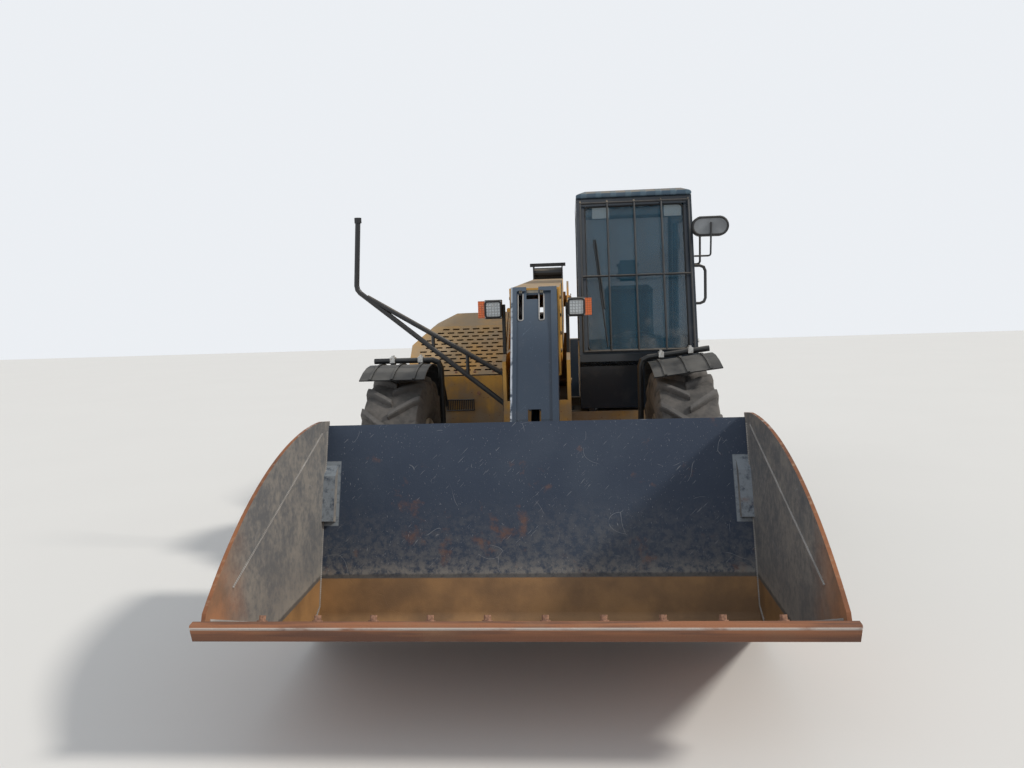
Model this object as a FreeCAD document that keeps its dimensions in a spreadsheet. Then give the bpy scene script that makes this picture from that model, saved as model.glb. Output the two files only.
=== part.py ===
import FreeCAD, Part
import math
import os
import Sketcher

# Telescopic handler with a wide earth bucket.
# Drawn in millimetres with the front axle's middle above the drawing's origin: X to the cab side, Y to the rear, Z up.
# Each node is then shifted so that the model's origin lies on the ground under the middle of its outline.

doc = FreeCAD.newDocument("telescopic_handler")
sheet = doc.addObject("Spreadsheet::Sheet", "dims")

DIMENSIONS = (
    # name, number, what it is
    ("origin_x", 87, "shift of the model's origin from the centreline"),
    ("origin_y", 484, "shift of the model's origin from the front axle"),
    ("running_gap", 0.5, "radial gap of a pin in its bore"),
    ("side_gap", 6, "gap beside a part that turns"),
    ("seat_gap", 0.3, "gap of a part that rests or slides"),
    ("wheelbase", 2750, "front axle to rear axle"),
    ("half_track", 945, "centreline to the middle of a tyre"),
    ("tyre_radius", 620, "over the lugs"),
    ("tyre_width", 400, "over the sidewalls"),
    ("lug_height", 38, "tread bars above the casing"),
    ("lug_width", 44, "width of a tread bar"),
    ("lug_sweep", 150, "how far back a bar's outer end lies"),
    ("lug_count", 18, "bars on each side"),
    ("ring_sides", 20, "sides of the steering ring"),
    ("wheel_sides", 26, "flats of tyres and rims"),
    ("rim_radius", 300, "bead seat"),
    ("rim_width", 344, "over the flanges"),
    ("rim_wall", 12, "rolled rim"),
    ("disc_wall", 16, "wheel disc"),
    ("spindle_radius", 60, "hub spindle"),
    ("hub_radius", 120, "planetary hub"),
    ("kingpin_x", 690, "centreline to the steering axis"),
    ("kingpin_radius", 24, "steering pin"),
    ("knuckle_radius", 74, "knuckle body round the steering pin"),
    ("knuckle_half", 105, "half height of the knuckle body"),
    ("fork_wall", 36, "fork plates of the axle end"),
    ("axle_radius", 82, "axle tube"),
    ("axle_sides", 16, "flats of the axle housing and the hubs"),
    ("diff_radius", 165, "differential housing"),
    ("axle_top", 790, "height of the axle's top pad"),
    ("fender_gap", 70, "tyre to the inside of the mudguard arc"),
    ("fender_flats", 10, "flats of the mudguard arc"),
    ("fender_wall", 8, "mudguard skin"),
    ("fender_width", 430, "mudguard across the tyre"),
    ("fender_front_angle", 27, "arc before the top"),
    ("fender_rear_angle", 62, "arc behind the top"),
    ("fender_tilt", 7, "tilt of the cab side's front mudguard"),
    ("tube_radius", 20, "bent tubes"),
    ("tube_rise", 27, "mudguard tube above the inside of the arc"),
    ("tube_sides", 10, "flats of a bent tube"),
    ("plate_inside", 190, "centreline to the frame plates"),
    ("plate_wall", 22, "frame plates"),
    ("frame_front", 420, "front of the frame, before the axle"),
    ("frame_top", 1390, "frame plates beside the boom"),
    ("frame_belly", 625, "underside between the axles"),
    ("frame_tail", 480, "frame plates behind the rear axle"),
    ("belly_step", 120, "slope between the belly and the axles"),
    ("floor_wall", 24, "frame cross plates"),
    ("tower_radius", 190, "plates round the boom pivot"),
    ("pivot_back", 300, "boom pivot behind the rear axle"),
    ("pivot_z", 1760, "boom pivot height"),
    ("pivot_radius", 40, "boom pivot pin"),
    ("boom_drop", 3, "slope of the lowered boom"),
    ("boom_mouth", 400, "outer boom's mouth before the front axle"),
    ("boom_tail", 190, "outer boom behind the pivot"),
    ("boom_half", 155, "half width of the outer boom"),
    ("boom_top", 220, "outer boom above its pivot line"),
    ("boom_under", 330, "outer boom below its pivot line"),
    ("boom_wall", 12, "boom plates"),
    ("inner_half", 120, "half width of the inner boom"),
    ("inner_top", 190, "inner boom above the pivot line"),
    ("inner_under", 290, "inner boom below the pivot line"),
    ("inner_start", 450, "rear end of the retracted inner boom"),
    ("pad_length", 160, "slide pads at the boom's mouth"),
    ("nose_half", 140, "half width of the nose above the bucket"),
    ("nose_wall", 16, "nose side plates"),
    ("nose_recess", 12, "front plate behind the side plates' edges"),
    ("nose_front_wall", 14, "nose front plate"),
    ("nose_brow_y", 470, "top front edge of the nose"),
    ("nose_brow_z", 1805, "top front edge of the nose"),
    ("nose_bend_y", 592, "bend of the nose's face"),
    ("nose_bend_z", 1525, "bend of the nose's face"),
    ("nose_knee_y", 850, "lower bend of the nose's face"),
    ("nose_knee_z", 1040, "lower bend of the nose's face"),
    ("nose_shin_y", 1010, "front of the nose above the bucket pivot"),
    ("nose_shin_z", 680, "front of the nose above the bucket pivot"),
    ("nose_face_end", 1000, "lower end of the nose's front plate"),
    ("boss_radius", 80, "round end of the nose"),
    ("nose_slot_low", 1612, "foot of the slots in the nose"),
    ("nose_slot_high", 1785, "top of the slots in the nose"),
    ("nose_slot_width", 22, "slots in the nose"),
    ("nose_notch_low", 1730, "foot of the notch in the nose"),
    ("nose_notch_half", 46, "half width of that notch"),
    ("lug_plate", 24, "pin lugs"),
    ("eye_half", 30, "half width of a cylinder's eye"),
    ("tilt_pin_y", 1060, "bucket pivot before the front axle"),
    ("tilt_pin_z", 390, "bucket pivot height"),
    ("tilt_pin_radius", 30, "bucket pivot pin"),
    ("link_pin_y", 1000, "tilt rod pin before the front axle"),
    ("link_pin_z", 685, "tilt rod pin height"),
    ("link_pin_radius", 25, "tilt rod pin"),
    ("tilt_root_y", 360, "tilt cylinder root before the front axle"),
    ("tilt_root_z", 1470, "tilt cylinder root height"),
    ("tilt_bore_radius", 46, "tilt cylinder barrel"),
    ("tilt_barrel", 460, "tilt cylinder barrel length"),
    ("tilt_tail", 136, "root pin to the tilt rod's inner end"),
    ("rod_radius", 26, "cylinder rods"),
    ("eye_radius", 44, "cylinder eyes"),
    ("lift_root_back", 50, "lift cylinder root behind the boom pivot"),
    ("lift_root_z", 884, "lift cylinder root height"),
    ("lift_eye_reach", 1600, "lift rod pin before the boom pivot"),
    ("lift_eye_drop", 400, "lift rod pin below the boom pivot line"),
    ("lift_bore_radius", 65, "lift cylinder barrel"),
    ("lift_barrel", 1460, "lift cylinder barrel length"),
    ("bucket_half", 1150, "half width of the bucket"),
    ("bucket_wall", 16, "bucket side plates"),
    ("bucket_skin", 14, "bucket floor and back"),
    ("lip_y", 2600, "end of the bucket floor before the front axle"),
    ("lip_z", 578, "height of the bucket floor's end"),
    ("heel_y", 1414, "bucket heel corner before the front axle"),
    ("heel_z", 48, "bucket heel corner height"),
    ("heel_round", 70, "inner radius of the heel"),
    ("back_top_y", 1060, "top of the bucket back before the front axle"),
    ("back_top_z", 1061, "height of the bucket back"),
    ("side_arc", 2070, "radius of the side plates' front edge"),
    ("edge_wall", 54, "cutting edge"),
    ("edge_depth", 190, "cutting edge along the floor"),
    ("edge_overhang", 12, "cutting edge beyond the side plates"),
    ("cab_inboard", 286, "centreline to the cab's inner side"),
    ("cab_width", 888, "cab"),
    ("cab_floor", 880, "underside of the cab"),
    ("cab_top", 2512, "top of the cab frame"),
    ("cab_front_low", 800, "cab front below the windscreen"),
    ("cab_front_sill", 655, "windscreen base"),
    ("cab_sill", 1310, "height of the windscreen base"),
    ("cab_front_top", 940, "windscreen top"),
    ("tank_gap", 230, "rear tyre to the cab and the tanks"),
    ("cab_wall", 46, "cab posts and panels"),
    ("post_width", 62, "cab posts seen from the front"),
    ("roof_wall", 58, "cab roof"),
    ("roof_overhang", 20, "cab roof beyond the frame"),
    ("glass_wall", 6, "glass panes"),
    ("door_gap", 7, "gap round the door"),
    ("door_post", 130, "rear edge of the door before the cab's rear"),
    ("door_low", 960, "bottom of the door"),
    ("door_head", 72, "top of the door below the cab's top"),
    ("cover_inner", 310, "centreline to the engine cover's inner edge"),
    ("cover_outer", 1090, "centreline to the engine cover's outer side"),
    ("cover_front", 850, "foot of the slotted face"),
    ("cover_beyond", 100, "engine cover behind the cab's rear"),
    ("cover_low", 1165, "bottom of the engine cover"),
    ("cover_top", 1650, "top of the engine cover"),
    ("cover_wall", 14, "engine cover skin"),
    ("slot_rise", 1545, "top of the slotted face"),
    ("slot_run", 1250, "rear of the slotted face"),
    ("slot_length", 56, "slots in the face"),
    ("slot_height", 11, "slots in the face"),
    ("slot_pitch", 84, "slots side by side"),
    ("row_pitch", 29, "slot rows up the face"),
    ("hinge_radius", 14, "cover and door hinges"),
    ("lamp_half", 52, "half width of a headlamp"),
    ("lamp_height", 118, "headlamp"),
    ("cover_shoulder", 900, "centreline to the engine cover's upper edge"),
    ("cover_shoulder_z", 1575, "height of that edge"),
    ("cover_flank_z", 1400, "top of the engine cover's outer side"),
    ("engine_width", 560, "engine"),
    ("engine_room", 50, "room for the engine under the cover"),
    ("engine_height", 500, "engine"),
    ("tank_low", 480, "underside of the tanks"),
    ("shaft_radius", 32, "drive shafts"),
    ("gearbox_low", 430, "underside of the gearbox"),
    ("weight_half", 380, "half width of the counterweight"),
    ("weight_depth", 270, "counterweight behind the frame"),
    ("weight_low", 640, "underside of the counterweight"),
    ("weight_top", 1330, "top of the counterweight"),
    ("hitch_pin_radius", 16, "tow pin"),
    ("hitch_half", 60, "half width of the tow jaw"),
    ("guard_bar_radius", 8, "bars of the windscreen guard"),
    ("guard_gap", 42, "guard before the windscreen"),
    ("guard_bars", 5, "upright bars of the guard"),
    ("seat_back", 570, "middle of the seat before the cab's rear"),
    ("seat_z", 1330, "top of the seat cushion"),
    ("seat_width", 470, "seat"),
    ("wheel_rim_radius", 170, "steering wheel"),
    ("arm_y", -150, "mirror ladder"),
    ("arm_reach", 1190, "centreline to the mirror ladder's elbow"),
    ("arm_lean", 32, "mirror ladder's top nearer to the centreline"),
    ("arm_elbow_z", 1830, "elbow of the mirror ladder"),
    ("arm_top_z", 2285, "top of the mirror ladder"),
    ("arm_low_z", 1045, "lower foot of the mirror ladder"),
    ("arm_high_z", 1246, "upper foot of the mirror ladder"),
    ("mirror_x", 1285, "middle of the mirror head"),
    ("mirror_y", 750, "middle of the mirror head"),
    ("mirror_drop", 266, "middle of the mirror head below the cab's top"),
    ("mirror_round", 74, "rounded ends of the mirror head"),
    ("work_lamp_width", 132, "work lamp at the windscreen's top"),
    ("work_lamp_height", 92, "work lamp"),
    ("work_lamp_inset", 62, "work lamp from the windscreen's side"),
    ("work_lamp_outer", 14, "outer work lamp from the glass's edge"),
    ("guide_half", 185, "half width of the hose guide"),
    ("guide_rise", 165, "hose guide above the boom"),
    ("corner_block", 72, "block in the bucket's corner"),
    ("corner_height", 315, "height of that block"),
    ("corner_drop", 213, "that block below the top of the back"),
    ("lamp_x", 258, "centreline to a headlamp's middle"),
    ("lamp_z", 1675, "headlamp's middle"),
)

for row, (name, number, note) in enumerate(DIMENSIONS, start=1):
    sheet.set(f"A{row}", name)
    sheet.set(f"B{row}", str(number))
    sheet.set(f"C{row}", note)
    sheet.setAlias(f"B{row}", name)
doc.recompute()


class Size:
    """A size as a number, to place things with, and as a formula that the document keeps."""

    def __init__(self, number, formula):
        self.number = number
        self.formula = formula

    def __add__(self, other):
        other = size(other)
        return Size(self.number + other.number, f"({self.formula} + {other.formula})")

    def __sub__(self, other):
        other = size(other)
        return Size(self.number - other.number, f"({self.formula} - {other.formula})")

    def __mul__(self, other):
        other = size(other)
        return Size(self.number * other.number, f"({self.formula} * {other.formula})")

    def __truediv__(self, other):
        other = size(other)
        return Size(self.number / other.number, f"({self.formula} / {other.formula})")

    def __neg__(self):
        return Size(-self.number, f"(0 - {self.formula})")

    __radd__ = __add__
    __rmul__ = __mul__

    def __rsub__(self, other):
        return size(other) - self


def size(thing):
    """A size or a plain number, as a size."""
    return thing if isinstance(thing, Size) else Size(thing, str(thing))


def sine(angle):
    angle = size(angle)
    return Size(math.sin(math.radians(angle.number)), f"sin({angle.formula})")


def cosine(angle):
    angle = size(angle)
    return Size(math.cos(math.radians(angle.number)), f"cos({angle.formula})")


def arc_tangent(ratio):
    ratio = size(ratio)
    return Size(math.degrees(math.atan(ratio.number)), f"(atan({ratio.formula}) / 1 deg)")


def root(area):
    return Size(math.sqrt(area.number), f"sqrt({area.formula})")


class Dimensions:
    """The spreadsheet's cells by name."""


d = Dimensions()
for name, number, note in DIMENSIONS:
    setattr(d, name, Size(number, f"dims.{name}"))

# Sizes that follow from others

d.fender_radius = d.tyre_radius + d.fender_gap
d.tube_height = d.tyre_radius + d.fender_radius + d.tube_rise
d.frame_rear = d.wheelbase + d.frame_tail
d.pivot_y = d.wheelbase + d.pivot_back
d.boom_length = d.pivot_y + d.boom_mouth
d.lift_root_y = d.pivot_y + d.lift_root_back
d.cab_rear = d.wheelbase - d.tyre_radius - d.tank_gap
d.door_rear = d.cab_rear - d.door_post
d.door_high = d.cab_top - d.door_head
d.seat_y = d.cab_rear - d.seat_back
d.cover_rear = d.cab_rear + d.cover_beyond
d.engine_length = d.cover_rear - d.slot_run - d.engine_room
d.mirror_z = d.cab_top - d.mirror_drop

X_AXIS = FreeCAD.Vector(1, 0, 0)
Y_AXIS = FreeCAD.Vector(0, 1, 0)
Z_AXIS = FreeCAD.Vector(0, 0, 1)


# Helpers for shapes

def bind(thing, prop, value):
    """Tie a property to its formula."""
    thing.setExpression(prop, size(value).formula)


def move(thing, x, y, z):
    for axis, value in zip("xyz", (x, y, z)):
        bind(thing, f"Placement.Base.{axis}", value)


def turn(thing, axis, angle):
    """Turn a thing about an axis through its own origin."""
    angle = size(angle)
    thing.Placement = FreeCAD.Placement(FreeCAD.Vector(), FreeCAD.Rotation(axis, angle.number))
    bind(thing, "Placement.Rotation.Angle", angle)


def body(name):
    return doc.addObject("PartDesign::Body", name)


def role(owner, name):
    return [item for item in owner.Origin.OriginFeatures if item.Role == name][0]


def sketch_on(owner, plane, name, lift=0):
    """An empty sketch on a plane of its own body, lifted along the plane's normal."""
    sketch = owner.newObject("Sketcher::SketchObject", name)
    sketch.AttachmentSupport = [(role(owner, plane), "")]
    sketch.MapMode = "FlatFace"
    bind(sketch, "AttachmentOffset.Base.z", lift)
    return sketch


def pin_point(sketch, geometry, end, point):
    """Hold one end of a line at a point given by two sizes."""
    for kind, value in zip(("DistanceX", "DistanceY"), point):
        value = size(value)
        index = sketch.addConstraint(Sketcher.Constraint(kind, -1, 1, geometry, end, value.number))
        sketch.setExpression(f"Constraints[{index}]", value.formula)


def arc_between(start, end, radius):
    """An arc of a radius from start to end, which bulges to the left of the way."""
    chord = end - start
    half = chord.Length / 2
    side = FreeCAD.Vector(chord.y, -chord.x, 0).normalize()
    centre = (start + end) / 2 + side * math.sqrt(radius * radius - half * half)
    first = math.atan2(end.y - centre.y, end.x - centre.x)
    last = math.atan2(start.y - centre.y, start.x - centre.x)
    return Part.ArcOfCircle(Part.Circle(centre, Z_AXIS, radius), first, last)


def outline(owner, plane, name, points, lift=0):
    """A closed outline. A point is (a, b), or (a, b, radius) where an arc runs on from it to the next point."""
    sketch = sketch_on(owner, plane, name, lift)
    spots = [FreeCAD.Vector(size(p[0]).number, size(p[1]).number, 0) for p in points]
    starts = []
    ends = []
    for index, point in enumerate(points):
        here = spots[index]
        there = spots[(index + 1) % len(points)]
        if len(point) == 3:
            radius = size(point[2])
            left = radius.number > 0
            arc = arc_between(here, there, radius.number) if left else arc_between(there, here, -radius.number)
            sketch.addGeometry(arc, False)
            starts.append(2 if left else 1)
            ends.append(1 if left else 2)
            positive = radius if left else -radius
            held = sketch.addConstraint(Sketcher.Constraint("Radius", index, positive.number))
            sketch.setExpression(f"Constraints[{held}]", positive.formula)
        else:
            sketch.addGeometry(Part.LineSegment(here, there), False)
            starts.append(1)
            ends.append(2)
    for index, point in enumerate(points):
        after = (index + 1) % len(points)
        sketch.addConstraint(Sketcher.Constraint("Coincident", index, ends[index], after, starts[after]))
        pin_point(sketch, index, starts[index], point)
    return sketch


def rectangle(owner, plane, name, low, high, lift=0):
    corners = [low, (high[0], low[1]), high, (low[0], high[1])]
    return outline(owner, plane, name, corners, lift)


def circle(owner, plane, name, centre, radius, lift=0):
    sketch = sketch_on(owner, plane, name, lift)
    spot = FreeCAD.Vector(size(centre[0]).number, size(centre[1]).number, 0)
    sketch.addGeometry(Part.Circle(spot, Z_AXIS, size(radius).number), False)
    pin_point(sketch, 0, 3, centre)
    held = sketch.addConstraint(Sketcher.Constraint("Radius", 0, size(radius).number))
    sketch.setExpression(f"Constraints[{held}]", size(radius).formula)
    return sketch


def pad(owner, sketch, length):
    """Add the outline's solid along the sketch's normal."""
    feature = owner.newObject("PartDesign::Pad", sketch.Name + "_pad")
    feature.Profile = sketch
    bind(feature, "Length", length)
    return feature


def pocket(owner, sketch, length):
    """Cut the outline away, against the sketch's normal, and check that it cuts."""
    doc.recompute()
    before = owner.Shape.Volume
    feature = owner.newObject("PartDesign::Pocket", sketch.Name + "_pocket")
    feature.Profile = sketch
    bind(feature, "Length", length)
    doc.recompute()
    if owner.Shape.Volume > before - 1:
        raise ValueError(f"{sketch.Name} cuts nothing")
    return feature


def spin(owner, sketch, axis="H_Axis"):
    feature = owner.newObject("PartDesign::Revolution", sketch.Name + "_turned")
    feature.Profile = sketch
    feature.ReferenceAxis = (sketch, [axis])
    feature.Angle = 360
    return feature


def slab(name, low, high):
    """A block between two corners."""
    block = doc.addObject("Part::Box", name)
    for prop, first, last in zip(("Length", "Width", "Height"), low, high):
        bind(block, prop, size(last) - first)
    move(block, *low)
    return block


def rod(name, start, direction, radius, length):
    """A round bar from a point along a direction."""
    bar = doc.addObject("Part::Cylinder", name)
    bind(bar, "Radius", radius)
    bind(bar, "Height", length)
    bar.Placement = FreeCAD.Placement(FreeCAD.Vector(), FreeCAD.Rotation(Z_AXIS, direction))
    move(bar, *start)
    return bar


def join(name, pieces):
    whole = doc.addObject("Part::MultiFuse", name)
    whole.Shapes = pieces
    return whole


def cut(name, base, tool):
    left = doc.addObject("Part::Cut", name)
    left.Base = base
    left.Tool = tool
    return left


def group(name, pieces):
    """Solids that don't touch, kept as one node."""
    whole = doc.addObject("Part::Compound", name)
    whole.Links = pieces
    return whole


def shift(name, piece, x=0, y=0, z=0):
    """A copy of a piece in another place."""
    copy = group(name, [piece])
    move(copy, x, y, z)
    return copy


def mirror_x(name, piece):
    twin = doc.addObject("Part::Mirroring", name)
    twin.Source = piece
    twin.Normal = X_AXIS
    return twin


def flats(sides, radius):
    """Corners of a regular polygon round the origin, one of them straight below it."""
    count = int(sides.number)
    step = size(360) / sides
    return [(radius * sine(step * index), -radius * cosine(step * index)) for index in range(count)]


def around(radius, start, end, count, height=0):
    """Points along an arc about a centre at a height, from angles behind the top."""
    step = (end - start) / count
    turns = [start + step * index for index in range(int(count.number) + 1)]
    return [(radius * sine(angle), radius * cosine(angle) + height) for angle in turns]


def bar(name, start, direction, radius, length, sides=8):
    """A straight bar with flats, like rod()."""
    thing = doc.addObject("Part::Prism", name)
    thing.Polygon = sides
    bind(thing, "Circumradius", radius)
    bind(thing, "Height", length)
    thing.Placement = FreeCAD.Placement(FreeCAD.Vector(), FreeCAD.Rotation(Z_AXIS, direction))
    move(thing, *start)
    return thing


def skinned(name, rings):
    """A solid of flat faces between closed rings of corners, from numbers."""
    count = len(rings[0])
    loops = [rings[0], rings[-1]]
    for near, far in zip(rings, rings[1:]):
        for index in range(count):
            onto = (index + 1) % count
            loops.append([near[index], near[onto], far[onto], far[index]])
    faces = [Part.Face(Part.makePolygon(loop + loop[:1])) for loop in loops]
    solid = Part.makeSolid(Part.makeShell(faces))
    thing = doc.addObject("Part::Feature", name)
    thing.Shape = solid if solid.Volume > 0 else solid.reversed()
    return thing


def stack(name, sides, rings):
    """A solid through regular polygons round the X axis, each given by its place along X and its radius."""
    return skinned(name, [[FreeCAD.Vector(size(along).number, across.number, up.number)
                           for across, up in flats(size(sides), size(radius))] for along, radius in rings])


def bent_tube(name, points, radius, bend):
    """A tube with flats along straight runs, with two mitres at each corner, from numbers."""
    spots = [FreeCAD.Vector(*[size(value).number for value in point]) for point in points]
    bend = size(bend).number
    path = [spots[0]]
    for before, corner, after in zip(spots, spots[1:], spots[2:]):
        back = (before - corner).normalize()
        onward = (after - corner).normalize()
        half = back.getAngle(onward) / 2
        setback = bend / math.tan(half)
        middle = corner + (back + onward).normalize() * (bend / math.sin(half) - bend)
        path += [corner + back * setback, middle, corner + onward * setback]
    path.append(spots[-1])
    thick = size(radius).number
    count = int(d.tube_sides.number)
    way = (path[1] - path[0]).normalize()
    side = way.cross(X_AXIS if abs(way.x) < 0.9 else Z_AXIS).normalize()
    other = way.cross(side)
    turns = [2 * math.pi * index / count for index in range(count)]
    corners = [path[0] + side * (thick * math.cos(angle)) + other * (thick * math.sin(angle)) for angle in turns]
    rings = [corners]
    for before, here, after in zip(path, path[1:], path[2:] + [None]):
        way = (here - before).normalize()
        face = way if after is None else way + (after - here).normalize()
        corners = [corner + way * ((here - corner).dot(face) / way.dot(face)) for corner in corners]
        rings.append(corners)
    return skinned(name, rings)


# Nodes and their places

nodes = {}


def node(name, thing, x=0, y=0, z=0):
    """Name a finished piece and shift it into the model's frame."""
    thing.Label = name
    move(thing, x - d.origin_x, y - d.origin_y, size(z))
    nodes[name] = thing
    return thing


def boom_node(name, thing):
    """A piece drawn in the level boom's own frame: pivot at the origin, forward along minus Y."""
    turn(thing, X_AXIS, d.boom_drop)
    return node(name, thing, 0, d.pivot_y, d.pivot_z)


# Tyres

def make_tyre():
    """Casing with flats round X and two rows of slanted bars, drawn at the wheel's middle."""
    half = d.tyre_width / 2
    casing = d.tyre_radius - d.lug_height
    bore = d.rim_radius + d.seat_gap
    middle = d.rim_radius + (casing - d.rim_radius) * 0.45
    whole = stack("tyre_casing", d.wheel_sides, [
        (-half * 0.74, bore * 1.03),
        (-half, middle),
        (-half * 0.9, casing),
        (half * 0.9, casing),
        (half, middle),
        (half * 0.74, bore * 1.03),
    ])
    core = stack("tyre_core", d.wheel_sides, [(-half, bore), (half, bore)])
    pieces = [cut("tyre_ring", whole, core)]
    span = half * 0.92
    reach = root(span * span + d.lug_sweep * d.lug_sweep)
    corner = (d.lug_sweep + d.lug_width * span / reach) / 2
    crown = root(d.tyre_radius * d.tyre_radius - corner * corner)
    pitch = size(360) / d.lug_count
    for row, side in enumerate((1, -1)):
        block = slab(f"tyre_block_{row}", (-reach / 2, -d.lug_width / 2, casing * 0.96), (reach / 2, d.lug_width / 2, crown))
        slanted = group(f"tyre_bar_{row}", [block])
        turn(slanted, Z_AXIS, arc_tangent(d.lug_sweep / span) * side)
        placed = shift(f"tyre_row_{row}", slanted, (span / 2 - half * 0.04) * side)
        for index in range(int(d.lug_count.number)):
            lug = group(f"tyre_lug_{row}_{index}", [placed])
            turn(lug, X_AXIS, pitch * (index + 0.5 * row))
            pieces.append(lug)
    return join("tyre_master", pieces)


# Rims, with the disc set towards the outside of the wheel

def make_rim():
    half = d.rim_width / 2
    barrel = d.rim_radius - d.rim_wall
    flange = d.rim_radius + d.rim_wall * 2
    barrels = []
    for name, start, end, radius in (
        ("rim_seat", -half, half, d.rim_radius),
        ("rim_flange_inner", -half, -half + d.rim_wall, flange),
        ("rim_flange_outer", half - d.rim_wall, half, flange),
    ):
        barrels.append(stack(name, d.wheel_sides, [(start, radius), (end, radius)]))
    outside = join("rim_outside", barrels)
    dish = stack("rim_dish", d.wheel_sides, [
        (d.disc_wall, d.hub_radius * 1.6),
        (d.disc_wall * 1.6, barrel),
        (half * 1.1, barrel),
    ])
    back = stack("rim_back", d.wheel_sides, [
        (size(0), d.hub_radius * 1.6),
        (-d.disc_wall, barrel),
        (-half * 1.1, barrel),
    ])
    hollow = group("rim_hollow", [dish, back])
    hole = rod("rim_hole", (-half, 0, 0), X_AXIS, d.spindle_radius + d.running_gap, half * 2)
    return cut("rim_master", cut("rim_turned", outside, hollow), hole)


# Steering knuckles: body round the steering pin, spindle and planetary hub, drawn at the wheel's middle

def make_knuckle(name, side):
    """side is 1 on the cab side and -1 on the engine side."""
    owner = body(name)
    inward = d.half_track - d.kingpin_x
    pivot_x = -inward * side
    post = outline(owner, "XY_Plane", name + "_post", [
        (across + pivot_x, along) for across, along in flats(d.axle_sides, d.knuckle_radius)
    ], -d.knuckle_half)
    pad(owner, post, d.knuckle_half * 2)
    hub_start = inward - d.knuckle_radius * 0.6
    stages = [
        # start along X from the wheel's middle, radius, length
        (-hub_start, d.hub_radius * 0.62, hub_start - d.disc_wall * 2),
        (-d.disc_wall * 2, d.hub_radius, d.disc_wall * 2 - d.seat_gap),
        (-d.disc_wall * 0.5, d.spindle_radius, d.disc_wall * 1.5 + d.seat_gap),
        (d.disc_wall + d.seat_gap, d.hub_radius * 0.9, d.hub_radius * 0.9),
    ]
    for index, (start, radius, length) in enumerate(stages):
        lift = start if side > 0 else -(start + length)
        if index == 2:
            stage = circle(owner, "YZ_Plane", f"{name}_stage_{index}", (0, 0), radius, lift)
        else:
            stage = outline(owner, "YZ_Plane", f"{name}_stage_{index}", flats(d.axle_sides, radius), lift)
        pad(owner, stage, length)
    arm_reach = d.knuckle_radius + d.tube_radius * 2
    arm = rectangle(owner, "XY_Plane", name + "_arm", (pivot_x - d.tube_radius * 1.3, 0),
                    (pivot_x + d.tube_radius * 1.3, arm_reach + d.tube_radius), 0)
    pad(owner, arm, d.knuckle_half * 0.5)
    bore = circle(owner, "XY_Plane", name + "_bore", (pivot_x, 0), d.kingpin_radius + d.running_gap, d.knuckle_half)
    pocket(owner, bore, d.knuckle_half * 2)
    return owner


# Axle beams: housing, tapered tubes, forks with steering pins, and a pad under the frame

def make_axle(name):
    owner = body(name)
    tube_end = d.kingpin_x - d.knuckle_radius - d.side_gap * 2
    stages = (
        # half length along X, radius
        (d.diff_radius * 0.75, d.diff_radius),
        (d.diff_radius * 1.2, d.diff_radius * 0.78),
        (d.diff_radius * 1.6, d.axle_radius * 1.15),
        (tube_end, d.axle_radius * 0.9),
    )
    for index, (half, radius) in enumerate(stages):
        stage = outline(owner, "YZ_Plane", f"{name}_stage_{index}", flats(d.axle_sides, radius), -half)
        pad(owner, stage, half * 2)
    top = d.axle_top - d.tyre_radius
    saddle = rectangle(owner, "XY_Plane", name + "_saddle",
                       (-d.plate_inside - d.plate_wall, -d.axle_radius), (d.plate_inside + d.plate_wall, d.axle_radius))
    pad(owner, saddle, top)
    fork_low = d.knuckle_half + d.side_gap
    for end, side in (("right", 1), ("left", -1)):
        centre = d.kingpin_x * side
        web = rectangle(owner, "XY_Plane", f"{name}_web_{end}",
                        (tube_end * side, -d.axle_radius * 0.8), ((tube_end - d.fork_wall) * side, d.axle_radius * 0.8),
                        -fork_low - d.fork_wall)
        pad(owner, web, (fork_low + d.fork_wall) * 2)
        for level, lift in (("low", -fork_low - d.fork_wall), ("high", fork_low)):
            arm = rectangle(owner, "XY_Plane", f"{name}_arm_{end}_{level}",
                            ((tube_end - d.fork_wall) * side, -d.axle_radius * 0.8), (centre, d.axle_radius * 0.8), lift)
            pad(owner, arm, d.fork_wall)
            cap = outline(owner, "XY_Plane", f"{name}_cap_{end}_{level}", [
                (across + centre, along) for across, along in flats(d.axle_sides, d.axle_radius * 0.8)
            ], lift)
            pad(owner, cap, d.fork_wall)
        pin = circle(owner, "XY_Plane", f"{name}_pin_{end}", (centre, 0), d.kingpin_radius, -fork_low)
        pad(owner, pin, fork_low * 2)
    return owner


# Mudguards: bent tube from the knuckle, thin arc with ribs, two hangers, drawn at the wheel's middle

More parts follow.
